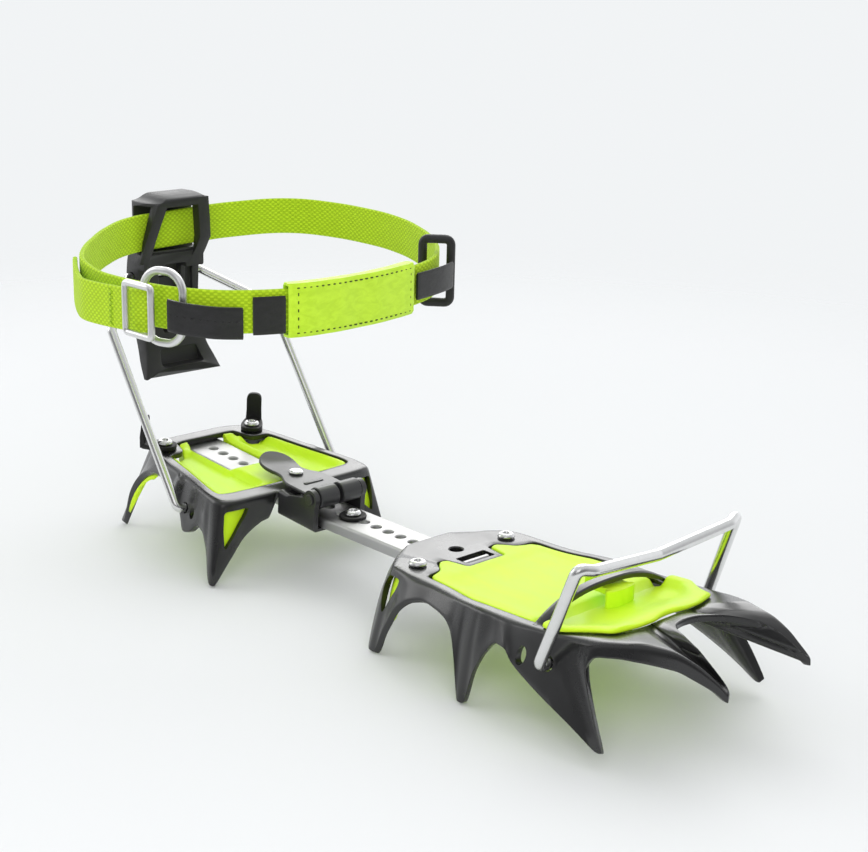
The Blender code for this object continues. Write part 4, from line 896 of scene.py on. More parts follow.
front_plate_half = [(22.0, 0), (22.0, 9.0), (13.2, 10.6), (12.2, 13.4), (14.8, 16.2), (17.8, 18.4), (19.3, 21.8), (19.8, 24.2), (22.6, 25.9), (29.2, 26.4),
                    (34, 27.0), (39, 28.0), (45, 29.2), (57, 29.3), (66, 29.0), (76.0, 29.0), (76.0, 0)]
front_plate = moulding("front_plate", mirrored(front_plate_half), 25.6, 30.1, main_shape, None, None)
dress(front_plate, "front_section", ["front_antiball_plate"])


def toe_edge(x):
    table = [(78.4, 33.0), (86.6, 32.4), (90.3, 29.6), (94.0, 27.0), (97.7, 25.4), (101.4, 24.0), (104.3, 12)]
    for (x0, w0), (x1, w1) in zip(table[:-1], table[1:]):
        if x <= x1:
            return w0 + (w1 - w0) * max(0.0, x - x0) / (x1 - x0)
    return table[-1][1]


def toe_shape(x, y, top):
    """The toe plate is a shell whose lip lies on the rails, with a dish inside that runs out at the nose."""
    z = rail_smooth(x) - 30.4
    inside = min(toe_edge(x) - abs(y), 103.8 - x)
    z -= 3.1 * (1 - step_up(x, 86, 100)) * step_up(inside, 3.9, 6.9)
    z -= top * 0.45 * (1 - step_up(inside, 0.2, 2.4))
    z += top * 0.35 * step_up(x, 96, 101) * (1 - (abs(y) / 26) ** 2)
    return z


toe_half = [(76.3, 0), (76.3, 25.2), (78.4, 27.2), (78.6, 32.8), (86.6, 32.4), (90.3, 29.6), (94.0, 27.0), (97.7, 25.4), (101.4, 24.0), (103.9, 15.2), (104.1, 7.8), (102.9, 3.4), (102.6, 0)]
toe_plate = moulding("toe_plate", mirrored(toe_half), 30.75, 32.3, toe_shape, None, None, corner=2.4, grid=1.5)
leg = prism("toe_plate_leg", rounded_outline([(78.5, -2.4), (79.8, -3.0), (81.0, -0.6), (81.5, 4.0), (81.0, 8.6), (79.8, 11.0), (78.5, 10.4), (78.3, 4.0)], 0.9), 28.4, 37.2, LIME_PLATE)
clip_outline = rounded_outline([(80.2, 35.2), (80.2, 37.3), (72.9, 37.3), (72.9, 41.3), (68.4, 41.3), (68.4, 35.2)], 0.6, 4)
clip = prism("toe_plate_clip", clip_outline, -1, 9, LIME_PLATE, "y")
combine(clip, [leg], "UNION")
soften(clip, 0.8, 3)
dress(toe_plate, "front_section", ["toe_antiball_plate"])
dress(clip, "front_section", [])


def heel_shape(x, y, top):
    """The heel plate: a flange under the frame, a sloping shoulder, and a lower floor beside the bar's trough."""
    w = 26 + 6.0 * step_up(x, -46, -8)
    inside = min(w - abs(y), x + 57.5, -0.2 - x)
    over_bar = 1 - step_up(abs(y), 9.6, 12.4)
    z = -top * 3.0 * step_up(inside, 1.6, 5.2) * (1 - over_bar * step_up(x, -26, -21))
    z += top * 2.0 * hill(abs(y), 11.6, 2.3) * step_up(inside, 1.5, 4.0) * (1 - step_up(x, -26, -20))
    z += top * 2.6 * hill(abs(y), 14.5, 2.8) * hill(x, -51.5, 4.2)
    return z


heel_plate_half = [(-56.8, 0), (-56.8, 9.4), (-55.8, 13.6), (-51.0, 15.0), (-46.9, 17.0), (-46.0, 19.8), (-45.7, 22.0), (-44.9, 23.9), (-42.6, 24.9), (-38.8, 25.7),
                   (-30, 27.3), (-24, 28.5), (-15, 30.4), (-8, 31.8), (-5, 32.1), (-3.2, 31.9), (-2.2, 31.1), (-1.6, 29.4), (-1.2, 27.2), (-1.0, 24.2), (-0.8, 20), (-0.6, 0)]
heel_plate = moulding("heel_plate", mirrored(heel_plate_half), -7.6, -0.5, heel_shape, None, None, heel=True, grid=1.5)
channel = prism("cut", [(-70, -BAR_HALF - 0.5), (20, -BAR_HALF - 0.5), (20, BAR_HALF + 0.5), (-70, BAR_HALF + 0.5)], -12, -BAR_DROP + 0.6, LIME_PLATE, heel=True)
sight = prism("cut", rounded_outline([(-70, -9.4), (-22.5, -9.4), (-22.5, 9.4), (-70, 9.4)], 2.0), -12, 5, LIME_PLATE, heel=True)
combine(heel_plate, [channel, sight], "DIFFERENCE", 42)
dress(heel_plate, "heel_section", ["heel_antiball_plate"])


def ear(name, half, side, s0, s1, t0, t1, depth, thick, body, heel, steps=14, levels=10, taper=0.0):
    """A lime ear that stands behind a wall: the wall's own surface moved inwards, between two stations."""
    rows = []
    for inner, ridge, lower in half:
        rows.append([*inner, *ridge, *lower])
    smooth, stamps = smooth_through(rows, 0.4, closed=False)
    picked = [row for row, s in zip(smooth, stamps) if s0 <= s <= s1]
    step = max(1, len(picked) // steps)
    picked = picked[::step]
    outer, innerf = [], []
    for c, row in enumerate(picked):
        ridge, lower, inn = Vector(row[3:6]), Vector(row[6:9]), Vector(row[0:3])
        r, f = (inn - ridge).normalized(), (lower - ridge).normalized()
        n2 = (r - f * r.dot(f)).normalized()
        u = c / max(1, len(picked) - 1)
        reach = t1 * (1 - taper * abs(2 * u - 1) ** 2)
        col_o, col_i = [], []
        for k in range(levels + 1):
            t = t0 + (reach - t0) * k / levels
            p = ridge + (lower - ridge) * t
            a, b = p + n2 * depth, p + n2 * (depth + thick)
            col_o.append(Vector((a.x, side * a.y, a.z)))
            col_i.append(Vector((b.x, side * b.y, b.z)))
        outer.append(col_o)
        innerf.append(col_i)
    rings = [o + i[::-1] for o, i in zip(outer, innerf)]
    obj = loft(name, rings, LIME_PLATE, heel=heel, angle=45)
    soften(obj, 0.25, 2, 50)
    return dress(obj, body, ())


for label, side in (("right", -1), ("left", 1)):
    ear("front_plate_ear_" + label, FRONT, side, 3.4, 9.6, 0.08, 0.60, SHEET + 0.15, 1.3, "front_section", False)
    ear("heel_plate_ear_" + label, HEEL, side, 18.6, 23.2, 0.10, 0.86, SHEET + 0.25, 1.3, "heel_section", True)
    ear("heel_plate_rear_ear_" + label, HEEL, side, 6.7, 9.2, 0.25, 1.16, SHEET + 0.25, 1.2, "heel_section", True)


# ---------------------------------------------------------------- rivets and stops
def rivet(name, centre, head, shank, grip, body, nodes, heel=False, dimple=0.42):
    """A formed rivet: flat-bottomed dimple, rounded land, domed skirt, closed underside."""
    profile = [(0, -grip - 1.3), (shank + 0.6, -grip - 1.3), (shank + 0.9, -grip - 1.0), (shank + 0.9, -grip), (shank, -grip), (shank, 0), (head - 0.15, 0), (head, 0.12), (head, 0.42),
               (head * 0.93, 0.86), (head * 0.80, 1.22), (head * 0.66, 1.42), (head * 0.54, 1.46), (head * 0.48, 1.38), (head * 0.42, 1.05), (head * 0.36, 1.46 - dimple * 2), (head * 0.15, 1.46 - dimple * 2.1), (0, 1.46 - dimple * 2.1)]
    return turned(name, profile, centre, RIVET_STEEL, 48, heel, body, nodes)


rivet("rivet_front_right", (9.9, -21.7, 30.75), 3.2, 1.9, 3.1, "front_section", ["front_rivet_right"])
rivet("rivet_front_left", (9.9, 21.7, 30.75), 3.2, 1.9, 3.1, "front_section", ["front_rivet_left"])
for label, side in (("right", -1), ("left", 1)):
    rivet("rivet_heel_" + label, (-53.5, side * 22.0, 2.5), 3.1, 1.9, 5.3, "heel_section", ["heel_rivet_" + label], True)
    x, y = -53.5, side * 22.0
    # The foot lies round the rivet and runs diagonally outwards, where the tongue bends up over the frame's corner.
    d = Vector((-7.1, side * 6.5)).normalized()
    n = Vector((-d.y, d.x))
    def spot(a, b):
        return (x + d.x * a + n.x * b, y + d.y * a + n.y * b)
    plan = rounded_outline([spot(-4.6, -2.6), spot(-4.6, 2.6), spot(-1.5, 4.6), spot(3.0, 4.4), spot(9.4, 3.3), spot(9.4, -3.3), spot(3.0, -4.4), spot(-1.5, -4.6)], 2.0)
    tab = prism("stop_tab_" + label, plan, 0.35, 2.1, RUBBER, heel=True)
    tongue = rounded_outline([(-3.4, 0.6), (3.4, 0.6), (3.1, 6.0), (3.1, 13.6), (-3.1, 13.6), (-3.1, 6.0)], [0.3, 0.3, 0.8, 2.8, 2.8, 0.8], 6)
    rings = []
    for a, bulge in ((7.5, 0.0), (9.4, 0.0)):
        rings.append([(*spot(a + 0.35 * math.sin(h * 0.4), b), h) for b, h in tongue])
    stand = loft("tongue", rings, RUBBER, heel=True)
    combine(tab, [stand], "UNION")
    combine(tab, [prism("cut", round_outline(x, y, 2.25), -2, 2.9, RUBBER, heel=True)], "DIFFERENCE")
    soften(tab, 0.4, 3, 35)
    dress(tab, "heel_section", ["heel_stop_tab_" + label])


# ---------------------------------------------------------------- linking bar
def bar_height(x):
    base = on_heel((0, 0, -BAR_DROP))
    slope = math.tan(HEEL_PITCH)
    at_bend = base.z - slope * (BEND_X - base.x)
    return at_bend - slope * (x - BEND_X) if x < BEND_X else at_bend


def bar_section(x, narrow=0.0):
    z = bar_height(x)
    w = BAR_HALF - narrow
    f = BAR_FLANGE * (1 - 0.9 * narrow / 4.0)
    outer = [(-w + 0.25, -f), (-w, -f + 0.25), (-w, -1.2), (-w + 0.12, -0.7), (-w + 0.4, -0.25), (-w + 0.95, -0.03), (-w + 1.5, 0.0)]
    pts = outer + [(-y, h) for y, h in outer[::-1]]
    inner = [(w - BAR_T + 0.2, -f), (w - BAR_T, -f + 0.2), (w - BAR_T, -BAR_T - 0.3), (w - BAR_T - 0.3, -BAR_T)]
    pts += inner + [(-y, h) for y, h in inner[::-1]]
    return [(x, y, z + h) for y, h in pts]


xs = [-149.5, -149.2] + [-149 + i * 4 for i in range(23)] + [BEND_X - 1.5 + 0.5 * i for i in range(7)] + [-50, -40, -30, -20, -10, -8]
stations = [bar_section(x) for x in sorted(set(xs)) if x <= -8]
for i in range(1, 7):
    t = i / 6
    stations.append(bar_section(-8 + 5 * t, 2.6 * step_up(t, 0, 1)))
stations.append(bar_section(14.4, 2.6))
link_bar = loft("link_bar", stations, BAR_STEEL, angle=40)
hook_z = bar_height(0)
hook = rounded_outline([(12.0, hook_z - BAR_T), (12.0, hook_z), (15.0, hook_z), (15.4, hook_z + 2.2), (15.6, hook_z + 3.3), (17.2, hook_z + 3.3), (17.6, hook_z + 2.0), (17.4, hook_z - BAR_T)], 0.5, 4)
combine(link_bar, [prism("hook", hook, -5.8, 5.8, BAR_STEEL, "y")], "UNION", 40)
holes = []
for i in range(19):
    x = -139.6 + HOLE_PITCH * i
    if abs(x + 50.2) > 5:
        holes.append(drill("hole", (x, 0, bar_height(x)), HOLE_R, 0.0, -6, False, 0.42, 32))
holes.append(drill("hole", (-50.2, 0, bar_height(-50.2)), 2.0, 0.0, -6, False, 0.2, 32))
combine(link_bar, holes, "DIFFERENCE", 40)
dress(link_bar, "link_bar", ["spine_bar"])

stop_z = bar_height(-50.2)
turned("stop_washer", [(2.2, 0.3), (5.0, 0.3), (5.2, 0.45), (5.2, 1.1), (5.0, 1.3), (2.2, 1.3), (2.2, 0.3)], (-50.2, 0, stop_z), RUBBER, 48, False, "link_bar", ["bar_stop_washer"])
rivet("stop_rivet", (-50.2, 0, stop_z + 1.6), 3.1, 1.7, 3.8, "link_bar", ["bar_stop_rivet"])

# ---------------------------------------------------------------- length adjuster
side_out, side_in = 12.6, 10.4
bracket = prism("bracket", rounded_outline([(-side_out, -9.0), (side_out, -9.0), (side_out, 1.2), (-side_out, 1.2)], [1.6, 1.6, 1.8, 1.8]), 9.6, 31.5, ADJUSTER_STEEL, "x", True)
inner_cut = prism("cut", rounded_outline([(-side_in, -7.9), (side_in, -7.9), (side_in, -1.2), (-side_in, -1.2)], 0.5), 5, 40, ADJUSTER_STEEL, "x", True)
top_cut = prism("cut", [(12.5, -side_in), (40.0, -side_in), (40.0, side_in), (12.5, side_in)], -4, 5, ADJUSTER_STEEL, heel=True)
combine(bracket, [inner_cut, top_cut], "DIFFERENCE")
ears = []
for side in (-1, 1):
    plan = [(KNUCKLE_X - 15.6, -1.0), (KNUCKLE_X - 13.0, 0.9), (KNUCKLE_X - 4.6, 3.0)] + [(KNUCKLE_X + 3.6 * math.cos(math.radians(a)), KNUCKLE_Z + 3.6 * math.sin(math.radians(a))) for a in range(150, -37, -8)] + [(31.5, 0.0), (31.5, -3.0), (KNUCKLE_X - 15.6, -3.0)]
    ears.append(prism("ear", plan, side * side_in, side * side_out, ADJUSTER_STEEL, "y", True))
combine(bracket, ears, "UNION")
combine(bracket, [prism("cut", round_outline(KNUCKLE_X, KNUCKLE_Z, 1.85), -20, 20, ADJUSTER_STEEL, "y", True)], "DIFFERENCE")
dress(bracket, "heel_section", ["adjuster_bracket"])

pin_profile = [(0, -13.4), (1.9, -13.4), (2.1, -13.1), (2.1, -12.75), (1.5, -12.7), (1.5, 12.7), (2.1, 12.75), (2.1, 13.1), (1.9, 13.4), (0, 13.4)]
turned("hinge_pin", pin_profile, (KNUCKLE_X, 0, KNUCKLE_Z), ADJUSTER_STEEL, 32, True, "heel_section", ["adjuster_hinge_pin"], axis="y")


def lever_width(x):
    table = [[-14.6, 0.8], [-14.2, 2.9], [-13.4, 4.6], [-11, 6.8], [-7.5, 7.6], [-3.5, 7.0], [0.5, 6.0], [4.5, 7.0], [8, 9.2], [11, 9.9], [25.9, 9.9]]
    for (x0, w0), (x1, w1) in zip(table[:-1], table[1:]):
        if x <= x1:
            t = (x - x0) / (x1 - x0)
            return w0 + (w1 - w0) * t
    return table[-1][1]


def lever_smooth(x):
    if x < -12:
        return max(0.7, 7.6 * math.sqrt(max(0.0, 1 - ((x + 7.2) / 7.45) ** 2)))
    return sum(lever_width(x + d) for d in (-1.5, -0.75, 0, 0.75, 1.5)) / 5


def lever_height(x):
    return 2.3 + 0.012 * max(0.0, 2.0 - x) ** 2 * 0.9


rings = []
x = -14.6
while x <= 25.95:
    w, z = lever_smooth(x), lever_height(x)
    e = min(0.4, w * 0.3)
    cup = 0.35 * hill(x, -8.0, 7.0)
    across = []
    for k in range(9):
        y = -w + 2 * w * k / 8
        across.append((y, (abs(y) / w) ** 2 * cup - cup))
    lower = [(-w + e, 0.0)] + [(w - e, 0.0)] + [(w, e)]
    ring = [(x, -w + e, z), (x, w - e, z), (x, w, z + e), (x, w, z + 1.5 - e)]
    ring += [(x, y, z + 1.5 + d) for y, d in [(w - e, 0.0)] + [(yy, dd) for yy, dd in across[-2:0:-1]] + [(-w + e, 0.0)]]
    ring += [(x, -w, z + 1.5 - e), (x, -w, z + e)]
    rings.append(ring)
    x += 0.45
leaf = loft("adjuster_leaf", rings, ADJUSTER_STEEL, heel=True, angle=40)
knuckles = []
for side in (-1, 1):
    profile = [(0, 0.9), (3.9, 0.9), (4.2, 1.2), (4.2, 9.6), (3.9, 9.9), (0, 9.9)]
    knuckles.append(turned("knuckle", [(r, side * y) for r, y in profile], (KNUCKLE_X, 0, KNUCKLE_Z), ADJUSTER_STEEL, 40, True, axis="y"))
combine(leaf, knuckles, "UNION", 40)
leaf_cuts = [prism("cut", round_outline(KNUCKLE_X, KNUCKLE_Z, 1.85), -20, 20, ADJUSTER_STEEL, "y", True),
             prism("cut", [(24.0, -0.9), (34, -0.9), (34, 0.9), (24.0, 0.9)], 0, 9, ADJUSTER_STEEL, heel=True),
             prism("cut", round_outline(4.3, 0, 2.1), 0, 9, ADJUSTER_STEEL, heel=True)]
combine(leaf, leaf_cuts, "DIFFERENCE", 40)
dress(leaf, "adjuster", ["adjuster_lever"])
mark = prism("adjuster_bead", rounded_outline([(14.2, -4.6), (16.0, -4.6), (16.0, 4.6), (14.2, 4.6)], 0.85, 5), 3.6, 4.15, ADJUSTER_STEEL, heel=True)
soften(mark, 0.25, 2)
dress(mark, "adjuster", ())
lock = [(0, -2.4), (1.4, -2.4), (1.7, -1.8), (1.7, 2.0), (1.75, 2.0), (1.75, 4.15), (2.8, 4.15), (2.9, 4.3), (2.88, 4.6), (2.6, 4.95), (2.0, 5.22), (1.2, 5.34), (0, 5.36)]
turned("lock_pin", lock, (4.3, 0, 0), RIVET_STEEL, 40, True, "adjuster", ["adjuster_lock_pin"])


# ---------------------------------------------------------------- wires
def both_sides(half):
    return [(x, -w, z) for x, w, z in half] + [(x, w, z) for x, w, z in reversed(half) if w > 0.01]


bail_half = [(BAIL_X, 33.2, BAIL_Z), (BAIL_X, 40.8, BAIL_Z), (98.2, 38.5, 59.4), (99.8, 33.0, 58.1), (97.4, 0, 54.6)]
sweep("toe_wire", rounded_path(both_sides(bail_half), 4.2), BAIL_R, WIRE_STEEL, "front_bail", ["toe_bail"], sides=24)
heel_half = [(WIRE_X, 33.6, WIRE_Z), (WIRE_X, 40.4, WIRE_Z), (-151.4, 40.0, 85.8), (LEVER_X, 17.6, LEVER_Z), (LEVER_X, 6, LEVER_Z), (LEVER_X, 0, LEVER_Z)]
sweep("heel_bail_wire", rounded_path(both_sides(heel_half), 3.4), HEEL_WIRE_R, WIRE_STEEL, "heel_bail", ["heel_wire"], sides=24)


# ---------------------------------------------------------------- heel lever
lever_sections = [
    (60.0, 18.6, -159.0, -163.8), (65.0, 17.0, -161.2, -168.5), (72.0, 15.0, -164.6, -173.5), (82.0, 14.2, -167.4, -177.6),
    (92.0, 14.6, -168.8, -179.6), (100.5, 15.2, -169.2, -180.0), (107.0, 15.2, -168.0, -179.2), (112.0, 14.6, -164.5, -178.0)]
keys, _ = smooth_through([list(s) for s in lever_sections], 1.3, closed=False)
rings = []
for z, w, xf, xb in keys:
    sag = 5.0 * max(0.0, (66 - z) / 6)
    flat = [(xf, -w + 0.8), (xf + 0.25, -w * 0.7), (xf + 0.4, -w * 0.4), (xf + 0.4, w * 0.4), (xf + 0.25, w * 0.7), (xf, w - 0.8), (xf - 0.25, w - 0.25), (xf - 0.9, w),
            (xb + 2.2, w), (xb + 1.0, w * 0.95), (xb + 0.2, w * 0.84), (xb, w * 0.66), (xb, -w * 0.66), (xb + 0.2, -w * 0.84), (xb + 1.0, -w * 0.95), (xb + 2.2, -w), (xf - 0.9, -w), (xf - 0.25, -w + 0.25)]
    rings.append([(px, py, z + sag * (1 - min(1.0, (abs(py) / w)) ** 2)) for px, py in flat])
lever = loft("clip_lever", rings, LEVER_PLASTIC, angle=40)
hood_outline = rounded_outline([(-177.6, 134.4), (-166, 135.0), (-160.4, 133.4), (-160.4, 129.8), (-166, 130.4), (-172.8, 130.4), (-173.4, 110.0), (-178.4, 110.0)], [2.4, 3, 1.4, 1.2, 2, 2.2, 0.5, 0.5], 6)
hood = prism("hood", hood_outline, -17.0, 16.0, LEVER_PLASTIC, "y")
side_trim = prism("trim", rounded_outline([(-16.4, 104), (15.2, 104), (15.2, 120), (14.2, 131), (11.0, 135.6), (1.0, 136.0), (-4.6, 134.6), (-8.8, 131.9), (-13.4, 131.4), (-16.4, 124)], [0.5, 0.5, 3, 3, 3, 3, 3, 2, 3, 3], 6), -185, -150, LEVER_PLASTIC, "x")
plan_trim = prism("trim", rounded_outline([(-179, -11.0), (-173.2, -14.6), (-160.2, -9.6), (-160.2, 12.6), (-163, 15.2), (-179, 14.0)], [2, 2, 1.6, 2, 2, 2], 6), 100, 140, LEVER_PLASTIC)
combine(hood, [side_trim, plan_trim], "INTERSECT")
bars = [
    loft("right_bar", [[(-160.4 - back, hi, z), (-160.4 - back, lo, z), (-165.0 - back, lo, z), (-165.0 - back, hi, z)] for lo, hi, z, back in ((9.0, 14.2, 133.2, 0), (9.6, 14.8, 124, 0), (10.0, 15.2, 116.5, 0.2), (9.2, 14.4, 111.5, 2.4), (8.0, 13.6, 107.0, 4.6))], LEVER_PLASTIC),
    loft("slant_bar", [[(-160.4 - back, hi, z), (-160.4 - back, lo, z), (-165.0 - back, lo, z), (-165.0 - back, hi, z)] for lo, hi, z, back in ((-10.6, -5.6, 131.4, 0), (-13.0, -8.4, 124, 0.8), (-15.4, -10.8, 116, 2.2), (-17.0, -12.4, 107.0, 4.6))], LEVER_PLASTIC),
    prism("sill", rounded_outline([(-15.2, 104.0), (14.2, 104.0), (14.2, 110.6), (-15.2, 110.6)], 1.0, 4), -170, -164.6, LEVER_PLASTIC, "x"),
]
combine(lever, [hood] + bars, "UNION", 40)
lever_cuts = [
    prism("cut", rounded_outline([(-173.0, 110.9), (-165.0, 110.9), (-165.0, 130.2), (-173.0, 130.2)], 0.6), -30, 30, LEVER_PLASTIC, "y"),
    prism("cut", round_outline(LEVER_X, LEVER_Z, 2.15), -30, 30, LEVER_PLASTIC, "y"),
    prism("cut", rounded_outline([(-10.5, 64.2), (10.5, 64.2), (9.0, 70.8), (-9.0, 70.8)], 1.4), -164.4, -155, LEVER_PLASTIC, "x"),
    prism("cut", rounded_outline([(-5.6, 77), (5.6, 77), (5.6, 106), (-5.6, 106)], 1.2), -172.0, -155, LEVER_PLASTIC, "x"),
    prism("cut", rounded_outline([(7.6, 79), (11.4, 79), (11.4, 104), (7.6, 104)], 1.0), -170.8, -155, LEVER_PLASTIC, "x"),
]
combine(lever, lever_cuts, "DIFFERENCE", 40)
soften(lever, 0.5, 2, 40)
dress(lever, "heel_clip", ["heel_lever"])

# ---------------------------------------------------------------- ankle strap
STRAP = [(-168.6, 3, 120.0), (-169.2, 32, 120.5), (-161, 55, 121), (-141, 67, 120.5), (-110, 69.5, 119.8), (-80, 61, 118.5),
         (-57, 47, 117), (-43, 30, 116), (-38, 10, 115), (-36, -12, 114.5), (-36, -36, 114.8), (-40, -58, 115.8),
         (-52, -72, 116.3), (-75, -77, 115.6), (-103, -75.3, 114.8), (-125.5, -68, 116.8), (-149, -45.5, 118.6), (-165, -22, 119.6)]


def strap_at(u, keys=None):
    """Point on the closed strap line, or on an open run of key points; u counts the key points."""
    line = keys or STRAP
    n = len(line)
    if keys:
        u = min(max(u, 0.0), n - 1.0001)
    i, t = int(math.floor(u)), u - math.floor(u)
    p0, p1, p2, p3 = (Vector(line[min(max(i + k, 0), n - 1) if keys else (i + k) % n]) for k in (-1, 0, 1, 2))
    return 0.5 * ((2 * p1) + (p2 - p0) * t + (2 * p0 - 5 * p1 + 4 * p2 - p3) * t * t + (3 * p1 - p0 - 3 * p2 + p3) * t ** 3)


def strap_frame(u, keys=None):
    p = strap_at(u, keys)
    along = (strap_at(u + 0.02, keys) - strap_at(u - 0.02, keys)).normalized()
    out = Vector((along.y, -along.x, 0)).normalized()
    if not keys and out.dot(p - Vector((-103, -8, 116))) < 0:
        out = -out
    return p, along, out


def beside(u, off, lift=0.0):
    """A point beside the strap: so far outwards, and so far up."""
    p, along, out = strap_frame(u)
    return p + out * off + Vector((0, 0, lift))


def even_steps(u0, u1, spacing, keys=None):
    """Parameters at even arc length."""
    fine = 40 * max(1, int(abs(u1 - u0) * 2))
    us = [u0 + (u1 - u0) * i / fine for i in range(fine + 1)]
    lengths = [0.0]
    for a, b in zip(us[:-1], us[1:]):
        lengths.append(lengths[-1] + (strap_at(b, keys) - strap_at(a, keys)).length)
    count = max(4, int(round(lengths[-1] / spacing)))
    out, j = [], 0
    for i in range(count + 1):
        s = lengths[-1] * i / count
        while j < fine - 1 and lengths[j + 1] < s:
            j += 1
        t = (s - lengths[j]) / max(1e-9, lengths[j + 1] - lengths[j])
        out.append((us[j] + (us[j + 1] - us[j]) * t, s))
    return out


def weave_height(s, v, pitch_u=1.25, pitch_v=0.9375):
    """Height of a plain weave, 0 to 1: warp floats alternate from row to row."""
    row = math.floor(v / pitch_v)
    over = math.sin(math.pi * s / pitch_u + math.pi * (row % 2))
    across = math.sin(math.pi * (v / pitch_v - row))
    return max(0.0, 0.5 + 0.5 * over) ** 0.8 * max(0.0, across) ** 0.6


def webbing(name, u0, u1, off, thick, tall, mat, nodes, body="heel_clip", closed=False, relief=0.14, lean=None, slack=0.12, keys=None):
    """A woven band: both faces carry the weave as real relief, the edges are rolled selvedges."""
    pitch_u = 1.25
    spacing = pitch_u / 4
    steps = even_steps(u0, u1, spacing, keys)
    total = steps[-1][1]
    if closed:
        turns = round(total / (2 * pitch_u))
        stretch = turns * 2 * pitch_u / total
        steps = steps[:-1]
    else:
        stretch = 1.0
    across = 48
    rings, uvs = [], []
    for u, s in steps:
        p, along, out = strap_frame(u, keys)
        drift = slack * math.sin(s * 0.11 + off) + slack * 0.6 * math.sin(s * 0.31 + 1.0)
        tip = math.radians(lean(u)) if lean else 0.0
        vert = Vector((0, 0, 1)) * math.cos(tip) + out * math.sin(tip)
        face = out * math.cos(tip) - Vector((0, 0, 1)) * math.sin(tip)
        c = p + out * (off + drift)
        ring = []
        for sign in (1, -1):
            for k in range(across + 1):
                v = tall * k / across if sign > 0 else tall * (1 - k / across)
                rim = min(v, tall - v)
                roll = math.sqrt(max(0.0, 1 - max(0.0, 1 - rim / 0.7) ** 2))
                h = weave_height(s * stretch + (0 if sign > 0 else pitch_u), v) * relief
                half = (thick / 2 - relief) * (0.35 + 0.65 * roll) + h * roll
                ring.append(c + vert * (v - tall / 2) + face * sign * half)
                uvs.append((s * stretch, v))
        rings.append(ring)
    return loft(name, rings, mat, closed, body, nodes, uvs=uvs, angle=180)


webbing("ankle_webbing", 0, len(STRAP), 0, WEB_T, WEB_W, LIME_WEB, ["ankle_strap"], closed=True)
# The free length folds back outside the strap, through the slide ring.
LOOP = [beside(15.0, 2.4, -1.6), beside(14.6, 3.2, -2.0), beside(14.2, 5.2, -2.2), beside(13.8, 7.4, -1.6), (-84.0, -83.8, 113.8), (-70.0, -83.6, 114.8), (-61.0, -82.6, 115.6)]
TAIL = [beside(12.15, 7.8, -0.6), beside(11.9, 8.0, -1.4), beside(11.5, 5.6, -2.6), beside(11.05, 2.9, -3.4)]
KEEPER = [beside(7.62, 2.5), beside(7.2, 3.6), beside(6.9, 5.2), beside(6.62, 6.8)]
webbing("return_webbing", 0, 6.0, 0, WEB_T, WEB_W, LIME_WEB, ["strap_return"], slack=0.05, keys=LOOP)


def tape(name, u0, u1, off, thick, tall, mat, nodes, hollow=None, spacing=0.8, edge=0.35, puff=None, body="heel_clip", wobble=0.0, lift=0.0, keys=None):
    """A flat band of coated fabric; with hollow (wall thickness) it is a sleeve round the strap."""
    steps = even_steps(u0, u1, spacing, keys)
    total = steps[-1][1]
    outer_rings, inner_rings, uvs = [], [], []
    for i, (u, s) in enumerate(steps):
        p, along, out = strap_frame(u, keys)
        p = p + Vector((0, 0, lift))
        end = min(s, total - s)
        soft = 1 - 0.25 * (1 - min(1.0, end / 1.2)) ** 2
        swell = (puff(s / total) if puff else 0.0)
        c = p + out * (off + wobble * math.sin(s * 0.42 + 0.7))
        rows = []
        across = 16
        w, h = thick / 2 * soft + swell, tall / 2
        for k in range(across + 1):
            v = -h + 2 * h * k / across
            bulge = swell * 0.0
            rows.append((w - edge * (1 - min(1.0, (h - abs(v)) / edge)) ** 2 if abs(v) > h - edge else w, v))
        ring = [(x, v) for x, v in rows] + [(-x, v) for x, v in rows[::-1]]
        outer_rings.append([c + out * x + Vector((0, 0, v)) for x, v in ring])
        if hollow:
            wi, hi = thick / 2 - hollow, tall / 2 - hollow
            ins = [(wi, -hi + 2 * hi * k / across) for k in range(across + 1)]
            ins = ins + [(-x, v) for x, v in ins[::-1]]
            inner_rings.append([c + out * x + Vector((0, 0, v)) for x, v in ins])
        uvs.append([(s, v) for _, v in ring])
    if not hollow:
        return loft(name, outer_rings, mat, False, body, nodes, uvs=[q for r in uvs for q in r], angle=45)
    n = len(outer_rings[0])
    verts, faces, flat_uv = [], [], []
    for o, i, uvr in zip(outer_rings, inner_rings, uvs):
        verts += o + i
        flat_uv += uvr + uvr
    for s in range(len(outer_rings) - 1):
        a, b = 2 * n * s, 2 * n * (s + 1)
        for k in range(n):
            j = (k + 1) % n
            faces.append((a + k, a + j, b + j, b + k))
            faces.append((a + n + k, b + n + k, b + n + j, a + n + j))
    for s in (0, 2 * n * (len(outer_rings) - 1)):
        faces += [(s + k, s + (k + 1) % n, s + n + (k + 1) % n, s + n + k) for k in range(n)]
    return build(name, verts, faces, mat, body, nodes, False, 45, flat_uv)


tape("strap_end_tape", 0, 3, 0, 1.6, 11.0, TAPE, ["strap_tail"], wobble=0.12, keys=TAIL)
tape("keeper_front", 10.34, 10.87, 1.75, 1.0, 13.2, TAPE, ["strap_keeper_front"], lift=-1.2)
tape("keeper_rear", 0, 3, 0, 1.2, 10.0, TAPE, ["strap_keeper_rear"], keys=KEEPER)
tape("label_sleeve", 7.7, 10.30, 0.5, 5.0, 19.0, SLEEVE, ["strap_sleeve"], 0.9, 0.6, 0.7, puff=lambda t: 0.14 * math.sin(9 * t + 0.6) + 0.09 * math.sin(23 * t))


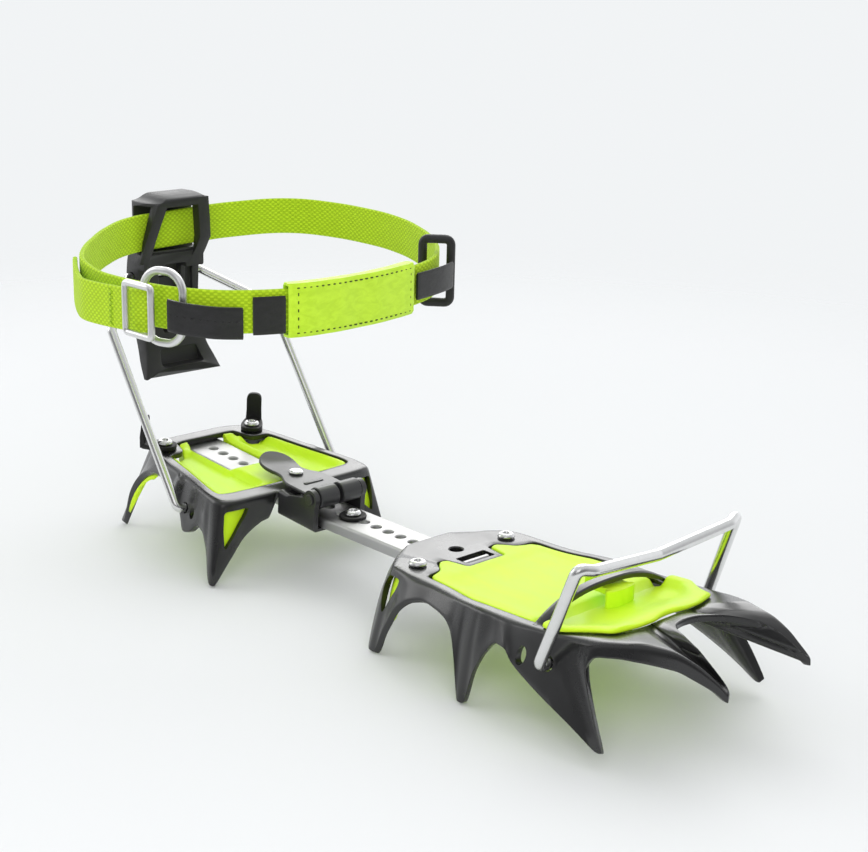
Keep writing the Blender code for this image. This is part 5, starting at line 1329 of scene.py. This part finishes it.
def stitches(name, places, mat, body="heel_clip", length=1.5, radius=0.26):
    """Short thread capsules, each lying on its place: (centre, direction, normal)."""
    verts, faces = [], []
    for c, d, nrm in places:
        d, nrm = d.normalized(), nrm.normalized()
        side = d.cross(nrm).normalized()
        base = len(verts)
        rings = 0
        for t, r in ((-0.5, 0.25), (-0.42, 0.75), (-0.25, 1.0), (0.25, 1.0), (0.42, 0.75), (0.5, 0.25)):
            sink = -radius * 1.3 * (abs(t) / 0.5) ** 3
            for k in range(8):
                a = 2 * math.pi * k / 8
                verts.append(c + d * length * t + side * radius * r * math.cos(a) + nrm * (radius * r * math.sin(a) * 0.8 + sink))
            rings += 1
        for s in range(rings - 1):
            a, b = base + 8 * s, base + 8 * s + 8
            faces += [(a + i, a + (i + 1) % 8, b + (i + 1) % 8, b + i) for i in range(8)]
        faces += [tuple(range(base, base + 8))[::-1], tuple(range(base + 8 * (rings - 1), base + 8 * rings))]
    uvs = [(0.7 * i, 0.3 * (i % 8)) for i in range(len(verts))]
    return build(name, verts, faces, mat, body, (), False, 60, uvs)


def run_of_stitches(u0, u1, off, v, pitch, keys=None):
    places = []
    for u, s in even_steps(u0, u1, pitch, keys):
        p, along, out = strap_frame(u, keys)
        places.append((p + out * off + Vector((0, 0, v)), along, out))
    return places


def column_of_stitches(u, off, v0, v1, pitch, tilt=0.0):
    p, along, out = strap_frame(u)
    count = int((v1 - v0) / pitch)
    return [(p + out * off + Vector((0, 0, v0 + (i + 0.5) * (v1 - v0) / count)), Vector((0, 0, 1)) + along * tilt, out) for i in range(count)]


face = 0.5 + 2.5
seam = run_of_stitches(7.85, 10.15, face + 0.1, 7.9, 2.5) + run_of_stitches(7.85, 10.15, face + 0.1, -7.9, 2.5)
seam += column_of_stitches(7.83, face + 0.1, -7.1, 7.1, 2.5) + column_of_stitches(10.15, face + 0.1, -7.1, 7.1, 2.5)
stitches("sleeve_stitching", seam, THREAD_DARK)
stitches("tail_stitching", run_of_stitches(0.3, 2.7, 0.84, 0.6, 2.6, TAIL), THREAD_BLACK, radius=0.2)


def bar_tack(name, u, off, tall, wide, mat, keys=None):
    """A dense zigzag across the webbing that closes a loop."""
    places = []
    count = 13
    for i in range(count):
        v = -tall / 2 + tall * (i + 0.5) / count
        p, along, out = strap_frame(u, keys)
        lean = 0.45 if i % 2 else -0.45
        places.append((p + out * off + Vector((0, 0, v)), along + Vector((0, 0, lean)), out))
    return stitches(name, places, mat, length=wide, radius=0.32)


bar_tack("tack_loop", 4.25, 0.95, 12.6, 3.4, THREAD_LIME, LOOP)
bar_tack("tack_fold", 15.25, 0.95, 12.6, 3.2, THREAD_LIME)


def ring_path(u, off, half_len, half_tall, corner, lift=0.0, n=96):
    p, along, out = strap_frame(u)
    c = p + out * off + Vector((0, 0, lift))
    points = []
    for k in range(n):
        a = 2 * math.pi * (k + 0.5) / n
        cx = math.copysign(half_len - corner, math.cos(a)) + corner * math.cos(a)
        cz = math.copysign(half_tall - corner, math.sin(a)) + corner * math.sin(a)
        points.append(c + along * cx + Vector((0, 0, 1)) * cz)
    return points


def evened(points, n):
    """Points at even spacing round a closed line, so that straight runs get rings too."""
    lengths = [0.0]
    for i in range(len(points)):
        lengths.append(lengths[-1] + (points[(i + 1) % len(points)] - points[i]).length)
    out, j = [], 0
    for k in range(n):
        s = lengths[-1] * k / n
        while lengths[j + 1] < s:
            j += 1
        t = (s - lengths[j]) / max(1e-9, lengths[j + 1] - lengths[j])
        out.append(points[j].lerp(points[(j + 1) % len(points)], t))
    return out


def rounded_corners(half_len, half_tall, corner, n=72):
    """A rounded rectangle about its centre."""
    turns = [2 * math.pi * (k + 0.5) / n for k in range(n)]
    return [(math.copysign(half_len - corner, math.cos(a)) + corner * math.cos(a), math.copysign(half_tall - corner, math.sin(a)) + corner * math.sin(a)) for a in turns]


sweep("slide_ring", evened([Vector((-60.5, -86.6, 116.6)) + Vector((cx, 0.05 * cx, cz)) for cx, cz in rounded_corners(7.1, 8.6, 1.2)], 120), 1.2, RING_STEEL, "heel_clip", ["strap_slide_ring"], True, 16)
sweep("oval_ring", evened(ring_path(12.36, 3.3, 8.7, 12.4, 7.4, 0.8), 120), 1.4, RING_STEEL, "heel_clip", ["strap_oval_ring"], True, 16)
p, along, out = strap_frame(6.4)
pts = [p + out * cx + Vector((0, 0, cz)) for cx, cz in rounded_corners(5.4, 12.2, 2.2)]
sweep("end_ring", evened(pts, 96), 1.7, LEVER_PLASTIC, "heel_clip", ["strap_end_ring"], True, 16)

# ---------------------------------------------------------------- floor and light
floor_look = Look("floor_paper", 0.9)
floor_look.set(Base_Color=floor_look.mix(floor_look.noise(3, 2), (0.815, 0.824, 0.831), (0.823, 0.832, 0.839)))
floor_look.shader.inputs["Specular IOR Level"].default_value = 0.1
# The sheet fades out round its rim, so that it runs into the backdrop without a line.
nodes, links = floor_look.mat.node_tree.nodes, floor_look.mat.node_tree.links
coords = nodes.new("ShaderNodeTexCoord")
reach = nodes.new("ShaderNodeVectorMath")
reach.operation = "LENGTH"
links.new(coords.outputs["Object"], reach.inputs[0])
fade = nodes.new("ShaderNodeMapRange")
fade.interpolation_type = "SMOOTHERSTEP"
for slot, value in (("From Min", 0.36), ("From Max", 0.80), ("To Min", 0.0), ("To Max", 1.0)):
    fade.inputs[slot].default_value = value
links.new(reach.outputs["Value"], fade.inputs["Value"])
clear = nodes.new("ShaderNodeBsdfTransparent")
join = nodes.new("ShaderNodeMixShader")
surface = next(n for n in nodes if n.bl_idname == "ShaderNodeOutputMaterial")
links.new(fade.outputs["Result"], join.inputs[0])
links.new(floor_look.shader.outputs[0], join.inputs[1])
links.new(clear.outputs[0], join.inputs[2])
links.new(join.outputs[0], surface.inputs["Surface"])
floor_mesh = bpy.data.meshes.new("floor")
floor_mesh.from_pydata([(-0.85, -0.85, 0), (0.85, -0.85, 0), (0.85, 0.85, 0), (-0.85, 0.85, 0)], [], [(0, 1, 2, 3)])
floor_mesh.materials.append(floor_look.mat)
floor = bpy.data.objects.new("floor", floor_mesh)
bpy.context.scene.collection.objects.link(floor)
floor.location.z = -0.0002

# A pale backdrop: one even tone behind the object, and a soft bright wall on the far side for the steel to reflect.
world = bpy.data.worlds.new("studio")
world.use_nodes = True
bpy.context.scene.world = world
nodes, links = world.node_tree.nodes, world.node_tree.links
nodes.clear()
sky_out = nodes.new("ShaderNodeOutputWorld")
even, soft = nodes.new("ShaderNodeBackground"), nodes.new("ShaderNodeBackground")
even.inputs["Color"].default_value = (0.884, 0.903, 0.915, 1)
path = nodes.new("ShaderNodeLightPath")
pick = nodes.new("ShaderNodeMixShader")
links.new(path.outputs["Is Camera Ray"], pick.inputs[0])
links.new(soft.outputs[0], pick.inputs[1])
links.new(even.outputs[0], pick.inputs[2])
links.new(pick.outputs[0], sky_out.inputs["Surface"])
coords = nodes.new("ShaderNodeTexCoord")


def slope_of(direction, low, high, dark, bright):
    """How much the direction looked in leans one way, turned into a brightness."""
    dot = nodes.new("ShaderNodeVectorMath")
    dot.operation = "DOT_PRODUCT"
    links.new(coords.outputs["Generated"], dot.inputs[0])
    dot.inputs[1].default_value = direction
    span = nodes.new("ShaderNodeMapRange")
    span.interpolation_type = "SMOOTHSTEP"
    for slot, value in (("From Min", low), ("From Max", high), ("To Min", dark), ("To Max", bright)):
        span.inputs[slot].default_value = value
    links.new(dot.outputs["Value"], span.inputs["Value"])
    return span.outputs["Result"]


far_wall = slope_of((-0.7276, 0.6860, 0.0), -0.7, 0.5, 0.22, 1.15)
overhead = slope_of((0.0, 0.0, 1.0), 0.30, 0.95, 0.0, 1.0)
blend = nodes.new("ShaderNodeMix")
blend.data_type = "FLOAT"
links.new(overhead, blend.inputs[0])
links.new(far_wall, blend.inputs[2])
blend.inputs[3].default_value = 0.80
links.new(blend.outputs[0], soft.inputs["Strength"])
soft.inputs["Color"].default_value = (0.97, 0.985, 1.0, 1)
bpy.context.scene.view_settings.view_transform = "Standard"
bpy.context.scene.view_settings.look = "None"
bpy.context.scene.view_settings.exposure = 0.0


def area(name, at, target, size, power, tall=None):
    light = bpy.data.lights.new(name, "AREA")
    light.shape = "RECTANGLE"
    light.size, light.size_y = size, tall or size
    light.energy = power
    light.color = (1.0, 0.995, 0.985)
    obj = bpy.data.objects.new(name, light)
    bpy.context.scene.collection.objects.link(obj)
    obj.location = at
    obj.rotation_euler = (Vector(target) - Vector(at)).to_track_quat("-Z", "Y").to_euler()
    return obj


area("key", (-0.55, 0.65, 1.25), (0, 0, 0.03), 1.1, 6.0)
area("front_fill", (0.7, -0.9, 0.75), (0, 0, 0.03), 0.8, 1.6)
area("side", (-0.9, -0.55, 0.55), (-0.05, 0, 0.05), 0.5, 1.4)
# A broad fill from the near side that lights cloth and plastic but leaves no glare.
near = area("near_fill", (0.85, -0.75, 0.42), (-0.02, 0, 0.06), 0.9, 6.5)
near.visible_glossy = False
# A long low light on the far side that only shows in the sheen of the steel.
sheen = area("far_strip", (-1.05, 0.99, 0.72), (0, 0, 0.03), 1.5, 7.5, 0.55)
sheen.visible_diffuse = False
sheen.visible_camera = False
sheen.visible_transmission = False
